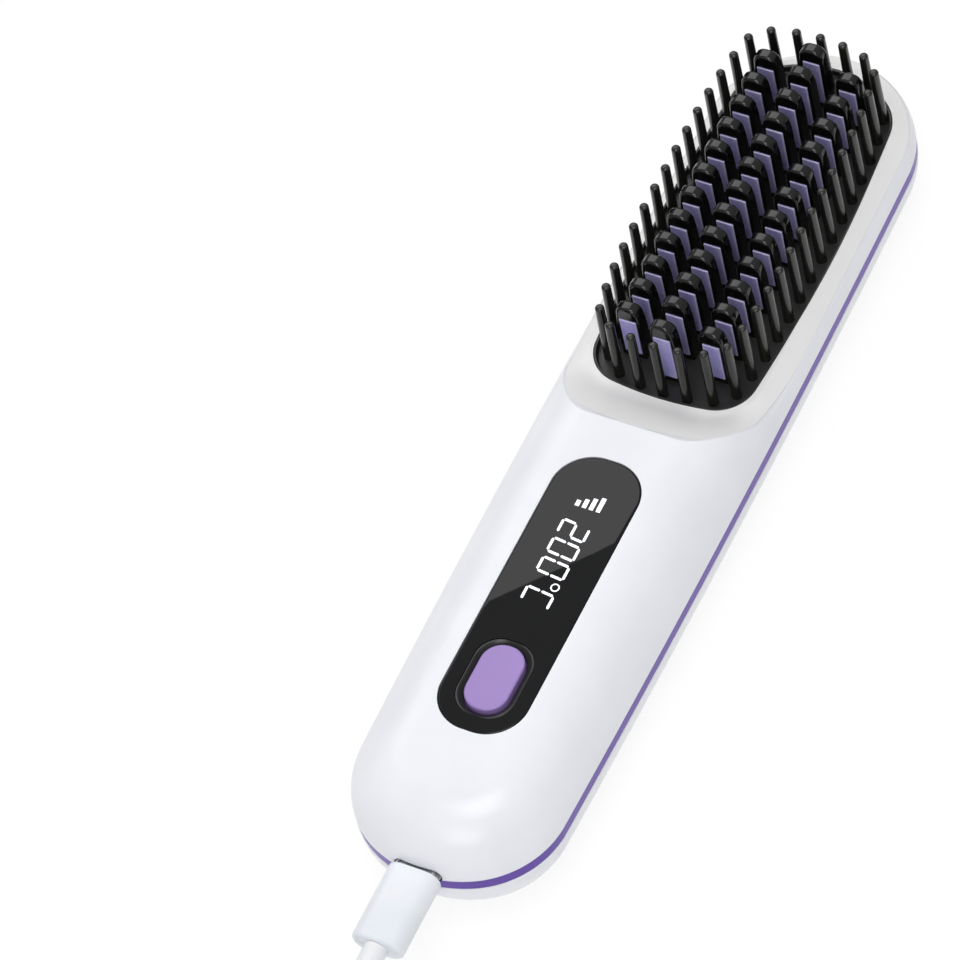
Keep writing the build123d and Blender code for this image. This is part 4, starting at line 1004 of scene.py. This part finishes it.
# Smoked acrylic: all but black, with a mirror-clear surface.
smoked, tree, shader, place = new_finish("smoked_acrylic")
cloud = add_node(tree, "TexNoise", {"Scale": 1 / 0.012, "Detail": 2.0}, {"Vector": place})
wear(tree, shader, cloud.outputs["Fac"], ("121213", "161617"), (0.004, 0.010))
set_values(shader, {"IOR": 1.49, "Specular IOR Level": 0.28})
fit(window, smoked, "brush", "window_smoke", "display_window")


# ---- figures of the read-out ----
# White light-emitting segments show the plate's heat in degrees, and four bars show the charge.
# They lie in the lens's top skin, where their light is seen, and lean 6 degrees.
FIGURE_HEIGHT = 6.0 * MM
FIGURE_WIDTH = 3.5 * MM
STROKE = 0.52 * MM
STROKE_GAP = 0.2 * MM
FIGURE_LEAN = math.tan(math.radians(6.0))
FIGURE_GROUND = LENS_TOP - 0.06 * MM
FIGURE_RISE = 0.08 * MM
STROKES = {
    "top": ((0.5, 1.0), True), "middle": ((0.5, 0.5), True), "bottom": ((0.5, 0.0), True),
    "upper_left": ((0.0, 0.75), False), "lower_left": ((0.0, 0.25), False),
    "upper_right": ((1.0, 0.75), False), "lower_right": ((1.0, 0.25), False),
}
TWO = ("top", "upper_right", "middle", "lower_left", "bottom")
ZERO = ("top", "upper_right", "lower_right", "bottom", "lower_left", "upper_left")
CELSIUS = ("top", "upper_left", "lower_left", "bottom")
FIGURES = ((TWO, 24.0 * MM), (ZERO, 28.3 * MM), (ZERO, 32.7 * MM), (CELSIUS, 39.4 * MM))
DEGREE_PLACE = (2.0 * MM, -38.1 * MM, LENS_TOP)
CHARGE_BAR_X, CHARGE_BAR_PITCH, CHARGE_BAR_WIDTH = -2.4 * MM, 1.42 * MM, 0.86 * MM
CHARGE_BAR_FOOT, CHARGE_BAR_HEIGHT, CHARGE_BAR_GROWTH = -20.6 * MM, 1.3 * MM, 0.63 * MM


def stroke_bar(length, width):
    """One flat bar with mitred ends, lying along the figure's width, in the figure's own plane."""
    tip, shoulder, side = length / 2, length / 2 - width / 2, width / 2
    bar = rise_from([
        (tip, 0.0, 0.0), (shoulder, side, 0.0), (-shoulder, side, 0.0),
        (-tip, 0.0, 0.0), (-shoulder, -side, 0.0), (shoulder, -side, 0.0),
    ], "stroke", FIGURE_RISE)
    bpy.ops.object.mode_set(mode="OBJECT")
    return bar


def lay_on_lens(piece, along, up):
    """Turns a piece from the figures' plane onto the lens: they read towards the tail, and lean."""
    piece.data.transform(Matrix((
        (0.0, 1.0, 0.0, up),
        (-1.0, -FIGURE_LEAN, 0.0, -along),
        (0.0, 0.0, 1.0, FIGURE_GROUND),
        (0.0, 0.0, 0.0, 1.0),
    )))


figures = []
flat_bar = stroke_bar(FIGURE_WIDTH - STROKE - STROKE_GAP, STROKE)
tall_bar = stroke_bar((FIGURE_HEIGHT - STROKE) / 2 - STROKE_GAP, STROKE)
tall_bar.data.transform(Matrix.Rotation(math.pi / 2, 4, "Z"))
for figure, start in FIGURES:
    for stroke in figure:
        (across, height), lies = STROKES[stroke]
        bar = copy_of(flat_bar if lies else tall_bar, (
            STROKE / 2 + across * (FIGURE_WIDTH - STROKE),
            STROKE / 2 + height * (FIGURE_HEIGHT - STROKE) - FIGURE_HEIGHT / 2, 0.0))
        lay_on_lens(bar, start, -0.15 * MM)
        figures.append(bar)
bpy.ops.mesh.primitive_torus_add(
    major_segments=32, minor_segments=6, major_radius=0.75 * MM, minor_radius=0.14 * MM,
    location=(0.0, 0.0, 0.0))
degree_ring = bpy.context.object
degree_ring.data.transform(Matrix.Diagonal((1.0, 1.0, 0.4, 1.0)))
degree_ring.data.transform(Matrix.Translation(DEGREE_PLACE))
figures.append(degree_ring)
for bar in range(4):
    left = CHARGE_BAR_X + CHARGE_BAR_PITCH * bar
    head = CHARGE_BAR_FOOT + CHARGE_BAR_HEIGHT + CHARGE_BAR_GROWTH * bar
    figures.append(rounded_block(
        "charge_bar", (left, CHARGE_BAR_FOOT, FIGURE_GROUND),
        (left + CHARGE_BAR_WIDTH, head, FIGURE_GROUND + FIGURE_RISE), 0.06 * MM, 2))
readout = join_all(figures, "lit_figures", [flat_bar, tall_bar])
smooth(readout)
# Lit segments: a cool white glow with a soft, uneven core.
lit, tree, shader, place = new_finish("lit_white_segments")
core = add_node(tree, "TexNoise", {"Scale": 1 / 0.0015, "Detail": 1.0}, {"Vector": place})
wear(tree, shader, core.outputs["Fac"], ("F2F6FF", "FFFFFF"))
glow = two_tone(tree, core.outputs["Fac"], "EEF2FC", "FFFFFF")
tree.links.new(glow, shader.inputs["Emission Color"])
set_values(shader, {"Emission Strength": 0.55, "Roughness": 0.5})
fit(readout, lit, "brush", "window_smoke")


# ---- button ring ----
# A dark grey ABS frame set in the lens, with a bevelled mouth that guides the button.
BUTTON_WIDTH = 8.6 * MM
BUTTON_LENGTH = 14.2 * MM
BUTTON_CORNER = 4.1 * MM
BUTTON_GAP = 0.25 * MM
BORE_WIDTH = BUTTON_WIDTH + 2 * BUTTON_GAP
BORE_LENGTH = BUTTON_LENGTH + 2 * BUTTON_GAP
BORE_CORNER = BUTTON_CORNER + BUTTON_GAP
RING_PLAY = 0.06 * MM
RING_BOTTOM = LENS_SEAT - FLANGE_THICKNESS
RING_FLANGE = 0.8 * MM
ring = button_block(
    "button_frame", RING_WIDTH - RING_PLAY, RING_LENGTH - RING_PLAY, RING_CORNER,
    RING_BOTTOM, LENS_TOP - 0.1 * MM, top_round=(0.18 * MM, 2))
cut(ring, button_block(
    "ring_foot", RING_WIDTH + 2 * RING_FLANGE, RING_LENGTH + 2 * RING_FLANGE,
    RING_CORNER + RING_FLANGE, RING_BOTTOM - 0.6 * MM, RING_BOTTOM), "UNION")
cut(ring, button_block(
    "ring_mouth", BORE_WIDTH + 2 * MM, BORE_LENGTH + 2 * MM, BORE_CORNER + MM,
    LENS_TOP - 1.1 * MM, LENS_TOP + 0.1 * MM, bottom_round=(MM, 1)))
cut(ring, button_block(
    "ring_bore", BORE_WIDTH, BORE_LENGTH, BORE_CORNER, 20 * MM, 30 * MM))
smooth(ring)
# Dark ABS with a satin skin: it turns its bevel to the light as a thin bright line.
dark_abs = moulded("satin_dark_grey_abs", "262825", "30322E", 0.30, 0.0006, 0.00001)
fit(ring, dark_abs, "brush", "ring_grey", "button_ring")


# ---- power button ----
# One lilac ABS key, 8.6 by 14.2 mm, that stands 0.4 mm over the lens and sinks 0.5 mm when pressed.
# Its flat crown is rounded at the rim, a flange below keeps it in, and a plunger meets the switch.
BUTTON_TOP = CROWN_HEIGHT + 0.35 * MM
FLANGE_TOP = RING_BOTTOM - 0.7 * MM
button = button_block(
    "power_key", BUTTON_WIDTH, BUTTON_LENGTH, BUTTON_CORNER, FLANGE_TOP - 0.1 * MM, BUTTON_TOP,
    top_round=(0.4 * MM, 5))
cut(button, button_block(
    "key_flange", BUTTON_WIDTH + 1.6 * MM, BUTTON_LENGTH + 1.8 * MM, BUTTON_CORNER + 0.9 * MM,
    FLANGE_TOP - 0.7 * MM, FLANGE_TOP), "UNION")
cut(button, drum("plunger", (0.0, BUTTON_Y, FLANGE_TOP - 0.95 * MM), 1.4 * MM, 0.5 * MM, 28), "UNION")
smooth(button)
# Satin lilac ABS: soft, slightly pearly, with a broad highlight.
lilac_abs = moulded("satin_lilac_abs", "9C80C2", "A88CCC", 0.34, 0.0005, 0.000008)
fit(button, lilac_abs, "button", "button_lilac", "power_button")


# ---- charging plug ----
# The soft white overmould of a USB-C plug: a rounded box with an oval rear, moulded round the
# cable, over a steel tip drawn and folded from sheet.
PLUG_FRONT_Y = -96.0 * MM
PLUG_REAR_Y = -112.0 * MM
PLUG_WIDTH, PLUG_DEPTH = 10.3 * MM, 5.8 * MM
plug = slot_block("plug_grip", PLUG_WIDTH, PLUG_DEPTH, PLUG_REAR_Y, PLUG_FRONT_Y)
bpy.context.view_layer.objects.active = plug
bpy.ops.object.mode_set(mode="EDIT")
round_rim(lambda corner: corner.y < PLUG_REAR_Y + HAIR, 0.9 * MM, 5)
round_rim(lambda corner: corner.y > PLUG_FRONT_Y - HAIR, 0.3 * MM, 3)
bpy.ops.object.mode_set(mode="OBJECT")
smooth(plug)
# Soft TPE: milky white with a dull glow through its edges.
soft_tpe = moulded("soft_white_tpe", "E6EAF0", "F2F4F8", 0.38, 0.0008, 0.00001)
let_light_in(soft_tpe, 0.15, 0.003)
fit(plug, soft_tpe, "cord", "plug_white", "plug_body")
refinish(rolled_steel, "plug_tip")


# ---- cable tie ----
# A strap of black hook-and-loop tape, woven nylon with a nap of fine loops, wrapped round the
# middle of the hank to keep its turns together.
nap, tree, shader, place = new_finish("black_loop_tape")
loops = add_node(tree, "TexVoronoi", {"Scale": 1 / 0.0005}, {"Vector": place})
wear(tree, shader, loops.outputs["Distance"], ("0D0D0E", "232325", 0.1, 0.7), relief=(0.9, 0.00015))
set_values(shader, {"Roughness": 0.9, "Sheen Weight": 0.25})
refinish(nap, "cable_tie")


# ---- far plug ----
# The USB-A plug on the cable's other end: the same soft white overmould over a folded steel shell.
refinish(soft_tpe, "far_plug_body")
refinish(rolled_steel, "far_plug_tip")
